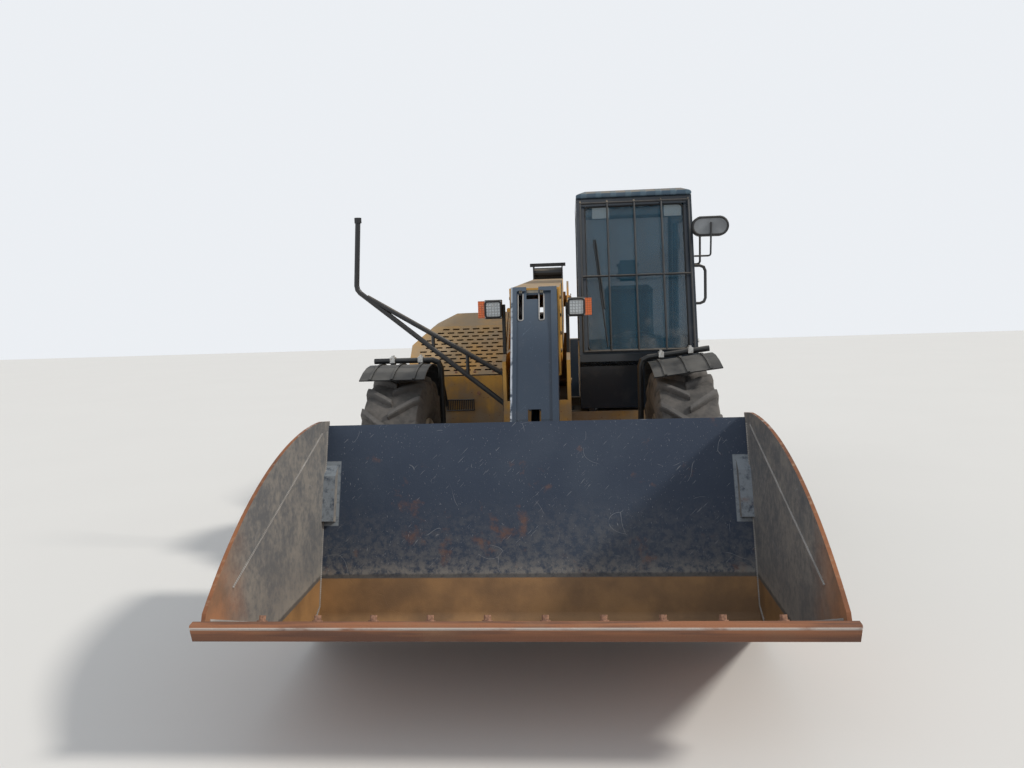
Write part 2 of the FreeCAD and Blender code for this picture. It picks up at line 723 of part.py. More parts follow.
def make_fender(name, side, tilt):
    """An arc over the tyre, carried by a tube that rises beside the tyre's inner face."""
    radius = d.fender_radius
    post_x = -(d.half_track - d.kingpin_x) * side
    run = d.half_track + d.fender_width / 2 - d.kingpin_x
    rise = run * sine(tilt)
    tube_top = d.tube_height - d.tyre_radius - rise / 2
    tube_y = d.knuckle_radius + d.tube_radius * 2
    foot = d.knuckle_half * 0.5
    bend = d.tube_radius * 3
    tube = bent_tube(name + "_tube", [
        (post_x, tube_y, foot),
        (post_x, tube_y, tube_top),
        (post_x + run * cosine(tilt) * side, tube_y, tube_top + rise),
    ], d.tube_radius, bend)
    skin = body(name + "_skin")
    start = d.fender_front_angle
    end = d.fender_rear_angle
    outer = radius + d.fender_wall
    section = outline(skin, "YZ_Plane", name + "_arc",
                      around(outer, -start, end, d.fender_flats)[::-1] + around(radius, -start, end, d.fender_flats),
                      -d.fender_width / 2)
    pad(skin, section, d.fender_width)
    crest = outer + d.fender_wall
    base = outer - d.fender_wall / 2
    for index in range(3):
        rib_x = d.fender_width * (index - 1) / 3 - d.fender_wall
        rib = outline(skin, "YZ_Plane", f"{name}_rib_{index}",
                      around(crest, -start, end, d.fender_flats)[::-1] + around(base, -start, end, d.fender_flats), rib_x)
        pad(skin, rib, d.fender_wall * 2)
    turn(skin, Y_AXIS, -tilt * side)
    move(skin, radius * sine(tilt) * side, 0, radius - radius * cosine(tilt))
    hangers = []
    for index, share in enumerate((0.3, 0.72)):
        hanger_x = post_x + run * share * side
        low = radius * 0.97 + hanger_x * side * sine(tilt)
        block = slab(f"{name}_hanger_{index}",
                     (hanger_x - d.tube_radius * 0.7, tube_y - d.tube_radius * 1.3, low),
                     (hanger_x + d.tube_radius * 0.7, tube_y + d.tube_radius * 1.3,
                      tube_top + run * share * sine(tilt) + d.tube_radius * 1.2))
        hangers.append(block)
    return join(name, [tube, skin] + hangers)


# Frame: two long plates joined by floor and cross plates, with outriggers for cab and engine

def make_frame():
    owner = body("frame_body")
    outer = d.plate_inside + d.plate_wall
    belly_front = d.diff_radius * 2.6
    belly_rear = d.wheelbase - d.diff_radius * 2.6
    tower = d.tower_radius
    side = outline(owner, "YZ_Plane", "frame_side", [
        (-d.frame_front, d.axle_top),
        (belly_front, d.axle_top),
        (belly_front + d.belly_step, d.frame_belly),
        (belly_rear - d.belly_step, d.frame_belly),
        (belly_rear, d.axle_top),
        (d.frame_rear, d.axle_top),
        (d.frame_rear, d.pivot_z),
        (d.pivot_y + tower * 0.8, d.pivot_z + tower * 0.6, -tower),
        (d.pivot_y - tower * 0.8, d.pivot_z + tower * 0.6),
        (d.pivot_y - tower * 3.2, d.frame_top * 0.93),
        (d.frame_front * 1.6, d.frame_top * 0.86),
        (d.frame_front * 0.5, d.frame_top),
        (-d.frame_front * 0.85, d.frame_top),
        (-d.frame_front, d.frame_top * 0.97),
    ], -outer)
    pad(owner, side, outer * 2)
    trough = outline(owner, "YZ_Plane", "frame_trough", [
        (-d.frame_front + d.floor_wall, d.axle_top + d.floor_wall),
        (belly_front + d.floor_wall, d.axle_top + d.floor_wall),
        (belly_front + d.floor_wall + d.belly_step, d.frame_belly + d.floor_wall),
        (belly_rear - d.floor_wall - d.belly_step, d.frame_belly + d.floor_wall),
        (belly_rear - d.floor_wall, d.axle_top + d.floor_wall),
        (d.frame_rear - d.floor_wall, d.axle_top + d.floor_wall),
        (d.frame_rear - d.floor_wall, d.pivot_z - tower * 1.9),
        (d.frame_rear + tower, d.pivot_z - tower * 1.9),
        (d.frame_rear + tower, d.pivot_z + tower * 2),
        (-d.frame_front - tower, d.pivot_z + tower * 2),
        (-d.frame_front - tower, d.frame_top * 0.79),
        (-d.frame_front + d.floor_wall, d.frame_top * 0.79),
    ], d.plate_inside)
    pocket(owner, trough, d.plate_inside * 2)
    cab_outer = d.cab_inboard + d.cab_width
    outriggers = (
        # middle along Y, outer end on the engine side, outer end on the cab side
        (d.cab_front_low + d.cab_wall, d.cover_outer, cab_outer),
        (d.slot_run, d.cover_outer, d.plate_inside),
        (d.cab_rear - d.cab_wall * 2, d.cover_outer, cab_outer),
    )
    for index, (place, engine_end, cab_end) in enumerate(outriggers):
        beam = rectangle(owner, "XZ_Plane", f"frame_outrigger_{index}",
                         (-engine_end, d.cab_floor - d.floor_wall * 4), (cab_end, d.cab_floor - d.floor_wall),
                         -place - d.cab_wall)
        pad(owner, beam, d.cab_wall * 2)
    well = rectangle(owner, "XY_Plane", "frame_well",
                     (-d.plate_inside, d.cab_front_low), (d.plate_inside, d.cab_rear + d.cab_wall * 2), d.frame_top)
    pocket(owner, well, d.frame_top - d.cab_floor + d.floor_wall * 5)
    pins = (
        # along Y, height, radius, overhang beyond the plates
        (d.lift_root_y, d.lift_root_z, d.tilt_pin_radius, d.plate_wall * 1.5),
        (d.pivot_y, d.pivot_z, d.pivot_radius, d.plate_wall * 1.8),
    )
    for index, (along, height, radius, reach) in enumerate(pins):
        pin = circle(owner, "YZ_Plane", f"frame_pin_{index}", (along, height), radius, -d.plate_inside - reach)
        pad(owner, pin, (d.plate_inside + reach) * 2)
    return owner


# Boom frame and drawing frame

def in_boom(y, z):
    """A point of the drawing's frame, in the boom's own frame."""
    along = y - d.pivot_y
    up = z - d.pivot_z
    return (along * cosine(d.boom_drop) + up * sine(d.boom_drop),
            up * cosine(d.boom_drop) - along * sine(d.boom_drop))


def from_boom(y, z):
    """A point of the boom's own frame, in the drawing's frame."""
    return (d.pivot_y + y * cosine(d.boom_drop) - z * sine(d.boom_drop),
            d.pivot_z + y * sine(d.boom_drop) + z * cosine(d.boom_drop))


# Outer boom: box section with a cross tube at the pivot and lugs for the lift rod

def make_outer_boom():
    owner = body("outer_boom_body")
    knee = -d.boom_length * 0.13
    side = outline(owner, "YZ_Plane", "boom_side", [
        (d.boom_tail, -d.boom_under * 0.5),
        (d.boom_tail, d.boom_top * 0.75),
        (d.boom_tail * 0.7, d.boom_top),
        (-d.boom_length, d.boom_top),
        (-d.boom_length, -d.boom_under),
        (knee, -d.boom_under),
    ], -d.boom_half)
    pad(owner, side, d.boom_half * 2)
    inside = d.boom_half - d.boom_wall
    front_bore = rectangle(owner, "XZ_Plane", "boom_front_bore", (-inside, -d.boom_under + d.boom_wall),
                           (inside, d.boom_top - d.boom_wall), d.boom_length + d.boom_wall)
    pocket(owner, front_bore, d.boom_length + d.boom_wall * 2 + knee)
    rear_bore = rectangle(owner, "XZ_Plane", "boom_rear_bore", (-inside, -d.boom_under * 0.5 + d.boom_wall * 2),
                          (inside, d.boom_top * 0.75 - d.boom_wall), -knee + d.boom_wall)
    pocket(owner, rear_bore, d.boom_tail - knee + d.boom_wall * 3)
    cross_tube = circle(owner, "YZ_Plane", "boom_cross_tube", (0, 0), d.pivot_radius * 2, -d.boom_half - d.side_gap * 4)
    pad(owner, cross_tube, (d.boom_half + d.side_gap * 4) * 2)
    bore = circle(owner, "YZ_Plane", "boom_pivot_bore", (0, 0), d.pivot_radius + d.running_gap, d.boom_half * 2)
    pocket(owner, bore, d.boom_half * 4)
    lug_inside = d.eye_half + d.side_gap
    for index, lift in enumerate((lug_inside, -lug_inside - d.lug_plate)):
        lug = outline(owner, "YZ_Plane", f"boom_lug_{index}", [
            (-d.lift_eye_reach + d.eye_radius * 3, -d.boom_under + d.boom_wall / 2),
            (-d.lift_eye_reach + d.eye_radius, -d.lift_eye_drop, d.eye_radius * 1.01),
            (-d.lift_eye_reach - d.eye_radius, -d.lift_eye_drop),
            (-d.lift_eye_reach - d.eye_radius * 3, -d.boom_under + d.boom_wall / 2),
        ], lift)
        pad(owner, lug, d.lug_plate)
    for index, lift in enumerate((lug_inside + d.lug_plate / 2, -lug_inside - d.lug_plate * 1.5)):
        head = circle(owner, "YZ_Plane", f"boom_pin_head_{index}", (-d.lift_eye_reach, -d.lift_eye_drop),
                      d.link_pin_radius, lift)
        pad(owner, head, d.lug_plate)
    return owner


def make_slide_pads():
    """Four pads in the boom's mouth, face to face with the outer boom and a seat's gap from the inner one."""
    near = -d.boom_length + d.boom_wall
    far = near + d.pad_length
    inside = d.boom_half - d.boom_wall
    side = d.inner_half + d.seat_gap
    pads = (
        # low corner, high corner
        ((-side * 0.8, near, -d.boom_under + d.boom_wall), (side * 0.8, far, -d.inner_under - d.seat_gap)),
        ((-side * 0.8, near, d.inner_top + d.seat_gap), (side * 0.8, far, d.boom_top - d.boom_wall)),
        ((side, near, -d.inner_under * 0.7), (inside, far, d.inner_top * 0.7)),
        ((-inside, near, -d.inner_under * 0.7), (-side, far, d.inner_top * 0.7)),
    )
    return group("slide_pads_group", [slab(f"slide_pad_{i}", low, high) for i, (low, high) in enumerate(pads)])


# Inner boom: box section that ends in the bent nose, open at its back for the tilt cylinder

def make_inner_boom():
    owner = body("inner_boom_body")
    mouth = -d.boom_length - d.side_gap * 3
    brow = in_boom(-d.nose_brow_y, d.nose_brow_z)
    bend = in_boom(-d.nose_bend_y, d.nose_bend_z)
    knee = in_boom(-d.nose_knee_y, d.nose_knee_z)
    shin = in_boom(-d.nose_shin_y, d.nose_shin_z)
    pivot = in_boom(-d.tilt_pin_y, d.tilt_pin_z)
    root_pin = in_boom(-d.tilt_root_y, d.tilt_root_z)
    ankle = (pivot[0] + d.boss_radius * 1.2, pivot[1] + d.boss_radius * 2)
    calf = (knee[0] + d.boss_radius * 2.4, knee[1] - d.boss_radius * 1.6)
    side = outline(owner, "YZ_Plane", "inner_side", [
        (-d.inner_start, -d.inner_under),
        (-d.inner_start, d.inner_top),
        (mouth, d.inner_top),
        (mouth - d.side_gap, brow[1] - d.nose_recess),
        brow,
        bend,
        knee,
        shin,
        (pivot[0] - d.boss_radius, pivot[1], -d.boss_radius * 1.01),
        (pivot[0] + d.boss_radius, pivot[1]),
        ankle,
        calf,
        (mouth, -d.inner_under),
    ], -d.inner_half)
    pad(owner, side, d.inner_half * 2)
    wide_z = d.nose_shin_z + d.boss_radius * 2
    wide_share = (d.nose_knee_z - wide_z) / (d.nose_knee_z - d.nose_shin_z)
    wide_y = d.nose_knee_y + (d.nose_shin_y - d.nose_knee_y) * wide_share
    cheeks = outline(owner, "YZ_Plane", "nose_cheeks", [
        (mouth, -d.inner_under),
        (mouth, d.inner_top),
        (mouth - d.side_gap, brow[1] - d.nose_recess),
        brow,
        bend,
        knee,
        in_boom(-wide_y, wide_z),
        calf,
    ], -d.nose_half)
    pad(owner, cheeks, d.nose_half * 2)
    wall = d.boom_wall
    bore = rectangle(owner, "XZ_Plane", "inner_bore", (-d.inner_half + wall, -d.inner_under + wall),
                     (d.inner_half - wall, d.inner_top - wall), -mouth - wall * 8)
    pocket(owner, bore, -mouth - wall * 7 - d.inner_start)
    between = d.inner_half - d.nose_wall
    behind = d.nose_recess + d.nose_front_wall
    end_share = (d.nose_knee_z - d.nose_face_end) / (d.nose_knee_z - d.nose_shin_z)
    end_y = d.nose_knee_y + (d.nose_shin_y - d.nose_knee_y) * end_share
    end = in_boom(-end_y, d.nose_face_end)
    beyond = d.boss_radius * 4
    inside = outline(owner, "YZ_Plane", "nose_inside", [
        (mouth + wall * 9, d.inner_top - wall),
        (brow[0] + behind, d.inner_top - wall),
        (bend[0] + behind, bend[1]),
        (knee[0] + behind, knee[1]),
        (end[0] + behind, end[1]),
        (end[0] - beyond, end[1] - d.nose_recess),
        (pivot[0] - beyond, pivot[1] - beyond),
        (pivot[0] + beyond, pivot[1] - beyond),
        (mouth + wall * 2, -d.boom_under * 2),
        (mouth + wall * 2, -d.inner_under + wall),
        (mouth + wall * 9, -d.inner_under + wall),
    ], between)
    pocket(owner, inside, between * 2)
    face = outline(owner, "YZ_Plane", "nose_face_recess", [
        (brow[0] + d.nose_recess, brow[1] - d.nose_recess * 2),
        (brow[0] - beyond, brow[1] - d.nose_recess * 2),
        (end[0] - beyond, end[1] - d.nose_recess * 2),
        (end[0] + d.nose_recess, end[1] - d.nose_recess * 2),
        (knee[0] + d.nose_recess, knee[1]),
        (bend[0] + d.nose_recess, bend[1]),
    ], between)
    pocket(owner, face, between * 2)
    slot_low = in_boom(-d.nose_brow_y, d.nose_slot_low)[1]
    slot_high = in_boom(-d.nose_brow_y, d.nose_slot_high)[1]
    notch_low = in_boom(-d.nose_brow_y, d.nose_notch_low)[1]
    windows = (
        # low X, low Z, high X, high Z
        (-between + d.nose_slot_width / 2, slot_low, -between + d.nose_slot_width * 1.5, slot_high),
        (d.nose_slot_width * 1.6, slot_low, d.nose_slot_width * 2.6, slot_high),
        (-d.nose_notch_half, notch_low, d.nose_notch_half - d.nose_slot_width * 0.8, brow[1] + wall * 2),
    )
    for index, (left, low, right, high) in enumerate(windows):
        window = rectangle(owner, "XZ_Plane", f"nose_window_{index}", (left, low), (right, high), -bend[0] + beyond)
        pocket(owner, window, brow[0] - bend[0] + beyond + behind + wall * 2)
    slot_half = d.rod_radius + d.side_gap * 2
    slot = outline(owner, "YZ_Plane", "nose_rod_slot", [
        (knee[0] - beyond, knee[1] + d.rod_radius * 2),
        (knee[0] - beyond, end[1] - beyond),
        (knee[0] + beyond * 0.3, end[1] - beyond),
        (knee[0] + beyond * 0.3, knee[1] + d.rod_radius * 2),
    ], slot_half)
    pocket(owner, slot, slot_half * 2)
    pins = (
        # place, radius, half length
        (root_pin, d.link_pin_radius, d.inner_half - wall / 2),
        (pivot, d.tilt_pin_radius, d.inner_half + d.side_gap * 2 + d.lug_plate * 1.5),
        (pivot, d.boss_radius * 0.7, d.inner_half + d.side_gap / 2),
    )
    for index, (place, radius, reach) in enumerate(pins):
        pin = circle(owner, "YZ_Plane", f"inner_pin_{index}", place, radius, -reach)
        pad(owner, pin, reach * 2)
    return owner


# Cylinders, drawn from the root eye along minus Y

def make_barrel(name, radius, length, eye):
    owner = body(name)
    ring = circle(owner, "YZ_Plane", name + "_ring", (0, 0), d.eye_radius, -d.eye_half)
    pad(owner, ring, d.eye_half * 2)
    start = d.eye_radius * 0.8
    tube = circle(owner, "XZ_Plane", name + "_tube", (0, 0), radius, start)
    pad(owner, tube, length)
    gland = circle(owner, "XZ_Plane", name + "_gland", (0, 0), radius * 1.1, start + length - d.eye_radius)
    pad(owner, gland, d.eye_radius)
    hole = circle(owner, "YZ_Plane", name + "_hole", (0, 0), eye + d.running_gap, d.eye_half)
    pocket(owner, hole, d.eye_half * 2)
    inside = circle(owner, "XZ_Plane", name + "_inside", (0, 0), d.rod_radius + d.running_gap, start + length)
    pocket(owner, inside, length - start)
    return owner


def make_rod(name, total, back):
    """The rod's eye lies at the cylinder's length from the root; its inner end lies at the distance back."""
    owner = body(name)
    ring = circle(owner, "YZ_Plane", name + "_ring", (-total, 0), d.eye_radius, -d.eye_half)
    pad(owner, ring, d.eye_half * 2)
    stem = circle(owner, "XZ_Plane", name + "_stem", (0, 0), d.rod_radius, back)
    pad(owner, stem, total - back - d.eye_radius * 0.6)
    hole = circle(owner, "YZ_Plane", name + "_hole", (-total, 0), d.link_pin_radius + d.running_gap, d.eye_half)
    pocket(owner, hole, d.eye_half * 2)
    return owner


# Bucket: rolled floor and back between two side plates

back_run = d.heel_y - d.back_top_y
back_rise = d.back_top_z - d.heel_z
back_length = root(back_run * back_run + back_rise * back_rise)
floor_run = d.lip_y - d.heel_y
floor_rise = d.lip_z - d.heel_z
floor_length = root(floor_run * floor_run + floor_rise * floor_rise)


def on_back(along, off):
    """A point up the bucket's back from the heel corner, and off its inner face to the rear."""
    return (-d.heel_y + (back_run * along + back_rise * off) / back_length,
            d.heel_z + (back_rise * along - back_run * off) / back_length)


def on_floor(along, off):
    """A point along the bucket's floor from the heel corner to the lip, and off its inner face upwards."""
    return (-d.heel_y + (floor_rise * off - floor_run * along) / floor_length,
            d.heel_z + (floor_rise * along + floor_run * off) / floor_length)


def make_bucket():
    owner = body("bucket_body")
    corner = (back_rise * floor_rise - back_run * floor_run) / (back_length * floor_length)
    heel_cut = d.heel_round / root((1 - corner) / (1 + corner))
    skin = d.bucket_skin
    section = outline(owner, "YZ_Plane", "bucket_section", [
        on_floor(floor_length, 0),
        on_floor(heel_cut, 0) + (-d.heel_round,),
        on_back(heel_cut, 0),
        on_back(back_length, 0),
        on_back(back_length, skin),
        on_back(heel_cut, skin) + (d.heel_round + skin,),
        on_floor(heel_cut, -skin),
        on_floor(floor_length, -skin),
    ], -d.bucket_half)
    pad(owner, section, d.bucket_half * 2)
    side_top = (-d.back_top_y - d.heel_round * 1.6, d.back_top_z + skin * 2.8)
    for index, lift in enumerate((d.bucket_half - d.bucket_wall, -d.bucket_half)):
        side = outline(owner, "YZ_Plane", f"bucket_side_{index}", [
            on_back(back_length + skin * 2, skin),
            side_top + (-d.side_arc,),
            on_floor(floor_length, skin * 2),
            on_floor(floor_length, -skin),
            on_floor(heel_cut, -skin) + (-(d.heel_round + skin),),
            on_back(heel_cut, skin),
        ], lift)
        pad(owner, side, d.bucket_wall)
    inner = d.bucket_half - d.bucket_wall / 2
    block_top = back_length - d.corner_drop
    for index, lift in enumerate((inner - d.corner_block, -inner)):
        corner_piece = outline(owner, "YZ_Plane", f"bucket_corner_{index}", [
            on_back(block_top, skin / 2),
            on_back(block_top - d.corner_block, -d.corner_block * 0.6),
            on_back(block_top - d.corner_height, -d.corner_block * 0.6),
            on_back(block_top - d.corner_height, skin / 2),
        ], lift)
        pad(owner, corner_piece, d.corner_block)
    return owner


def make_cutting_edge():
    owner = body("cutting_edge_body")
    skin = d.bucket_skin
    under = -skin - d.edge_wall
    section = outline(owner, "YZ_Plane", "edge_section", [
        on_floor(floor_length, 0),
        on_floor(floor_length + d.edge_depth * 0.2, 0),
        on_floor(floor_length + d.edge_depth * 0.32, -skin),
        on_floor(floor_length + d.edge_depth * 0.32, -skin * 1.8),
        on_floor(floor_length + d.edge_depth * 0.28, -skin * 1.8),
        on_floor(floor_length + d.edge_depth * 0.28, -skin * 2.2),
        on_floor(floor_length + d.edge_depth * 0.12, under),
        on_floor(floor_length - d.edge_depth * 0.68, under),
        on_floor(floor_length - d.edge_depth * 0.68, -skin),
        on_floor(floor_length, -skin),
    ], -d.bucket_half - d.edge_overhang)
    pad(owner, section, (d.bucket_half + d.edge_overhang) * 2)
    return owner


def make_carriage():
    """Quick hitch on the bucket's back: plate, two outer lugs at the pivot and two inner lugs at the tilt rod."""
    owner = body("carriage_body")
    skin = d.bucket_skin
    plate = outline(owner, "YZ_Plane", "carriage_plate", [
        on_back(back_length * 0.2, skin),
        on_back(back_length * 0.2, skin + d.lug_plate),
        on_back(back_length * 0.84, skin + d.lug_plate),
        on_back(back_length * 0.84, skin),
    ], -d.bucket_half * 0.3)
    pad(owner, plate, d.bucket_half * 0.6)
    outer = d.inner_half + d.side_gap
    round_end = d.tilt_pin_radius * 1.9
    for index, lift in enumerate((outer, -outer - d.lug_plate)):
        lug = outline(owner, "YZ_Plane", f"carriage_lug_{index}", [
            on_back(back_length * 0.22, skin + d.lug_plate / 2),
            (-d.tilt_pin_y, d.tilt_pin_z - round_end, -round_end * 1.01),
            (-d.tilt_pin_y, d.tilt_pin_z + round_end),
            on_back(back_length * 0.62, skin + d.lug_plate / 2),
        ], lift)
        pad(owner, lug, d.lug_plate)
    bore = circle(owner, "YZ_Plane", "carriage_bore", (-d.tilt_pin_y, d.tilt_pin_z),
                  d.tilt_pin_radius + d.running_gap, outer + d.lug_plate * 2)
    pocket(owner, bore, (outer + d.lug_plate * 2) * 2)
    inner = d.eye_half + d.side_gap
    for index, lift in enumerate((inner, -inner - d.lug_plate)):
        lug = outline(owner, "YZ_Plane", f"carriage_ear_{index}", [
            on_back(back_length * 0.55, skin + d.lug_plate / 2),
            (-d.link_pin_y, d.link_pin_z - d.eye_radius, -d.eye_radius * 1.01),
            (-d.link_pin_y, d.link_pin_z + d.eye_radius),
            on_back(back_length * 0.82, skin + d.lug_plate / 2),
        ], lift)
        pad(owner, lug, d.lug_plate)
    for index, lift in enumerate((inner + d.lug_plate / 2, -inner - d.lug_plate * 1.4)):
        head = circle(owner, "YZ_Plane", f"carriage_head_{index}", (-d.link_pin_y, d.link_pin_z),
                      d.link_pin_radius, lift)
        pad(owner, head, d.lug_plate * 0.9)
    return owner


# Cab: hollow frame with its openings cut, roof, panes, door, guard, seat and steering column

cab_outer = d.cab_inboard + d.cab_width
rake = (d.cab_front_top - d.cab_front_sill) / (d.cab_top - d.cab_sill)
pane_low = d.cab_sill + d.cab_wall * 0.5
pane_high = d.cab_top - d.cab_wall * 1.4
pane_left = d.cab_inboard + d.post_width
pane_right = cab_outer - d.post_width
side_low = d.cab_sill + d.post_width


def screen_y(height):
    """How far back the outer face of the windscreen lies at a height."""
    return d.cab_front_sill + (height - d.cab_sill) * rake


def side_opening(gap):
    """Outline of the side windows, shrunk by a gap."""
    low = side_low + gap
    high = d.cab_top - d.cab_wall * 1.5 - gap
    front = d.post_width * 1.8 + gap
    rear = d.cab_rear - d.post_width * 1.6 - gap
    return [(screen_y(low) + front, low), (rear, low), (rear, high), (screen_y(high) + front, high)]


def door_outline(gap):
    """Outline of the door, shrunk by a gap."""
    front = d.post_width * 1.6 + gap
    low = d.door_low + gap
    high = d.door_high - gap
    knee = d.cab_sill - d.post_width
    return [
        (d.cab_front_low + d.cab_wall * 2 + gap, low),
        (d.door_rear - gap, low),
        (d.door_rear - gap, high),
        (screen_y(high) + front, high),
        (screen_y(d.cab_sill) + front, d.cab_sill),
        (d.cab_front_low + d.cab_wall * 2 + gap, knee - d.post_width * 2),
    ]


def cab_outline(inset):
    """Side view of the cab, shrunk by an inset."""
    slope = inset * 1.04
    return [
        (d.cab_front_low + inset, d.cab_floor + inset),
        (d.cab_rear - inset, d.cab_floor + inset),
        (d.cab_rear - inset, d.cab_top - inset),
        (screen_y(d.cab_top - inset) + slope, d.cab_top - inset),
        (d.cab_front_sill + slope, d.cab_sill),
        (d.cab_front_sill + slope, d.cab_sill - d.cab_wall * 1.2 + inset * 0.6),
        (d.cab_front_low + inset, d.cab_sill - d.cab_wall * 2.2),
    ]


def make_cab_shell():
    owner = body("cab_body")
    whole = outline(owner, "YZ_Plane", "cab_side", cab_outline(size(0)), d.cab_inboard)
    pad(owner, whole, d.cab_width)
    room = outline(owner, "YZ_Plane", "cab_room", cab_outline(d.cab_wall), cab_outer - d.cab_wall)
    pocket(owner, room, d.cab_width - d.cab_wall * 2)
    screen = rectangle(owner, "XZ_Plane", "cab_screen", (pane_left, pane_low), (pane_right, pane_high),
                       -d.cab_front_sill + d.cab_wall)
    pocket(owner, screen, d.cab_front_top - d.cab_front_sill + d.cab_wall * 3)
    rear = rectangle(owner, "XZ_Plane", "cab_rear_window", (pane_left, side_low), (pane_right, pane_high),
                     -d.cab_rear + d.cab_wall * 1.5)
    pocket(owner, rear, d.cab_wall * 2)
    inboard = outline(owner, "YZ_Plane", "cab_inboard_window", side_opening(size(0)), d.cab_inboard + d.cab_wall * 1.5)
    pocket(owner, inboard, d.cab_wall * 2)
    doorway = outline(owner, "YZ_Plane", "cab_doorway", door_outline(size(0)), cab_outer + d.cab_wall * 0.5)
    pocket(owner, doorway, d.cab_wall * 2)
    mounts = (
        # along Y of the cab mounts on the outriggers
        d.cab_front_low + d.cab_wall,
        d.cab_rear - d.cab_wall * 2,
    )
    for row, along in enumerate(mounts):
        for column, across in enumerate((d.cab_inboard + d.cab_wall * 2, cab_outer - d.cab_wall * 2)):
            mount = circle(owner, "XY_Plane", f"cab_mount_{row}_{column}", (across, along), d.cab_wall * 0.8,
                           d.cab_floor - d.floor_wall)
            pad(owner, mount, d.floor_wall)
    return owner


def make_cab_roof():
    owner = body("cab_roof_body")
    front = d.cab_front_top - d.roof_overhang
    rear = d.cab_rear + d.roof_overhang
    side = outline(owner, "YZ_Plane", "roof_side", [
        (front, d.cab_top),
        (rear, d.cab_top),
        (rear, d.cab_top + d.roof_wall * 0.5),
        (rear - d.roof_wall * 2, d.cab_top + d.roof_wall),
        (front + d.roof_wall, d.cab_top + d.roof_wall),
        (front, d.cab_top + d.roof_wall * 0.6),
    ], d.cab_inboard)
    pad(owner, side, d.cab_width)
    for index, (corner, inward) in enumerate(((d.cab_inboard, 1), (cab_outer, -1))):
        trim = outline(owner, "XZ_Plane", f"roof_trim_{index}", [
            (corner - d.roof_wall * inward, d.cab_top + d.roof_wall * 0.45),
            (corner, d.cab_top + d.roof_wall * 0.45),
            (corner + d.roof_wall * 1.2 * inward, d.cab_top + d.roof_wall * 1.01),
            (corner - d.roof_wall * inward, d.cab_top + d.roof_wall * 1.01),
        ], -front + d.roof_wall)
        pocket(owner, trim, rear - front + d.roof_wall * 2)
    return owner


def make_cab_glass():
    """Windscreen, rear pane and inboard side pane, each inside its opening."""
    gap = d.seat_gap
    screen = body("screen_pane")
    low = pane_low + gap
    high = pane_high - gap
    inset = d.cab_wall * 0.4
    pane = outline(screen, "YZ_Plane", "screen_section", [
        (screen_y(low) + inset, low),
        (screen_y(low) + inset + d.glass_wall, low),
        (screen_y(high) + inset + d.glass_wall, high),
        (screen_y(high) + inset, high),
    ], pane_left + gap)
    pad(screen, pane, pane_right - pane_left - gap * 2)
    rear_face = d.cab_rear - inset
    rear = slab("rear_pane", (pane_left + gap, rear_face - d.glass_wall, side_low + gap),
                (pane_right - gap, rear_face, pane_high - gap))
    side = body("side_pane")
    shape = outline(side, "YZ_Plane", "side_pane_outline", side_opening(gap), d.cab_inboard + inset)
    pad(side, shape, d.glass_wall)
    return group("cab_glass_group", [screen, rear, side])


def door_window(gap):
    frame = d.post_width * 1.1 + gap
    low = side_low + frame * 0.5
    high = d.door_high - frame
    front = d.post_width * 1.6 + frame
    return [(screen_y(low) + front, low), (d.door_rear - frame, low), (d.door_rear - frame, high),
            (screen_y(high) + front, high)]


hinge_x = cab_outer + d.hinge_radius + d.running_gap * 2
hinge_y = d.door_rear + d.running_gap
hinge_levels = (
    # height of each door hinge
    d.door_low + d.post_width * 3,
    d.door_high - d.post_width * 4,
)


def make_door_frame():
    owner = body("door_body")
    leaf = outline(owner, "YZ_Plane", "door_leaf", door_outline(d.door_gap), cab_outer - d.cab_wall)
    pad(owner, leaf, d.cab_wall)
    window = outline(owner, "YZ_Plane", "door_window", door_window(d.door_gap), cab_outer + d.cab_wall)
    pocket(owner, window, d.cab_wall * 3)
    for index, level in enumerate(hinge_levels):
        tab = rectangle(owner, "XY_Plane", f"door_tab_{index}",
                        (cab_outer - d.glass_wall, hinge_y - d.hinge_radius * 5), (hinge_x, hinge_y - d.door_gap * 2), level)
        pad(owner, tab, d.hinge_radius * 4)
        reach = rectangle(owner, "XY_Plane", f"door_reach_{index}",
                          (cab_outer + d.running_gap * 4, hinge_y - d.door_gap * 3), (hinge_x, hinge_y), level)
        pad(owner, reach, d.hinge_radius * 4)
        barrel = circle(owner, "XY_Plane", f"door_barrel_{index}", (hinge_x, hinge_y), d.hinge_radius, level)
        pad(owner, barrel, d.hinge_radius * 4)
    bore = circle(owner, "XY_Plane", "door_bore", (hinge_x, hinge_y), d.hinge_radius * 0.5 + d.running_gap, d.cab_top)
    pocket(owner, bore, d.cab_top - d.cab_floor)
    return owner


def make_door_hinges():
    """Fixed halves of the door hinges: pin, lower barrel and plate on the cab's rear post."""
    pieces = []
    for index, level in enumerate(hinge_levels):
        low = level - d.hinge_radius * 3
        top = level + d.hinge_radius * 5
        plate = slab(f"hinge_plate_{index}", (cab_outer, hinge_y + d.door_gap, low),
                     (hinge_x, hinge_y + d.door_gap + d.hinge_radius * 4, level - d.running_gap * 2))
        web = slab(f"hinge_web_{index}", (cab_outer, hinge_y, low),
                   (hinge_x, hinge_y + d.door_gap * 2, level - d.running_gap * 2))
        barrel = rod(f"hinge_barrel_{index}", (hinge_x, hinge_y, low), Z_AXIS, d.hinge_radius,
                     level - d.running_gap * 2 - low)
        pin = rod(f"hinge_pin_{index}", (hinge_x, hinge_y, low), Z_AXIS, d.hinge_radius * 0.5, top - low)
        pieces.append(join(f"hinge_{index}", [plate, web, barrel, pin]))
    return group("door_hinges_group", pieces)


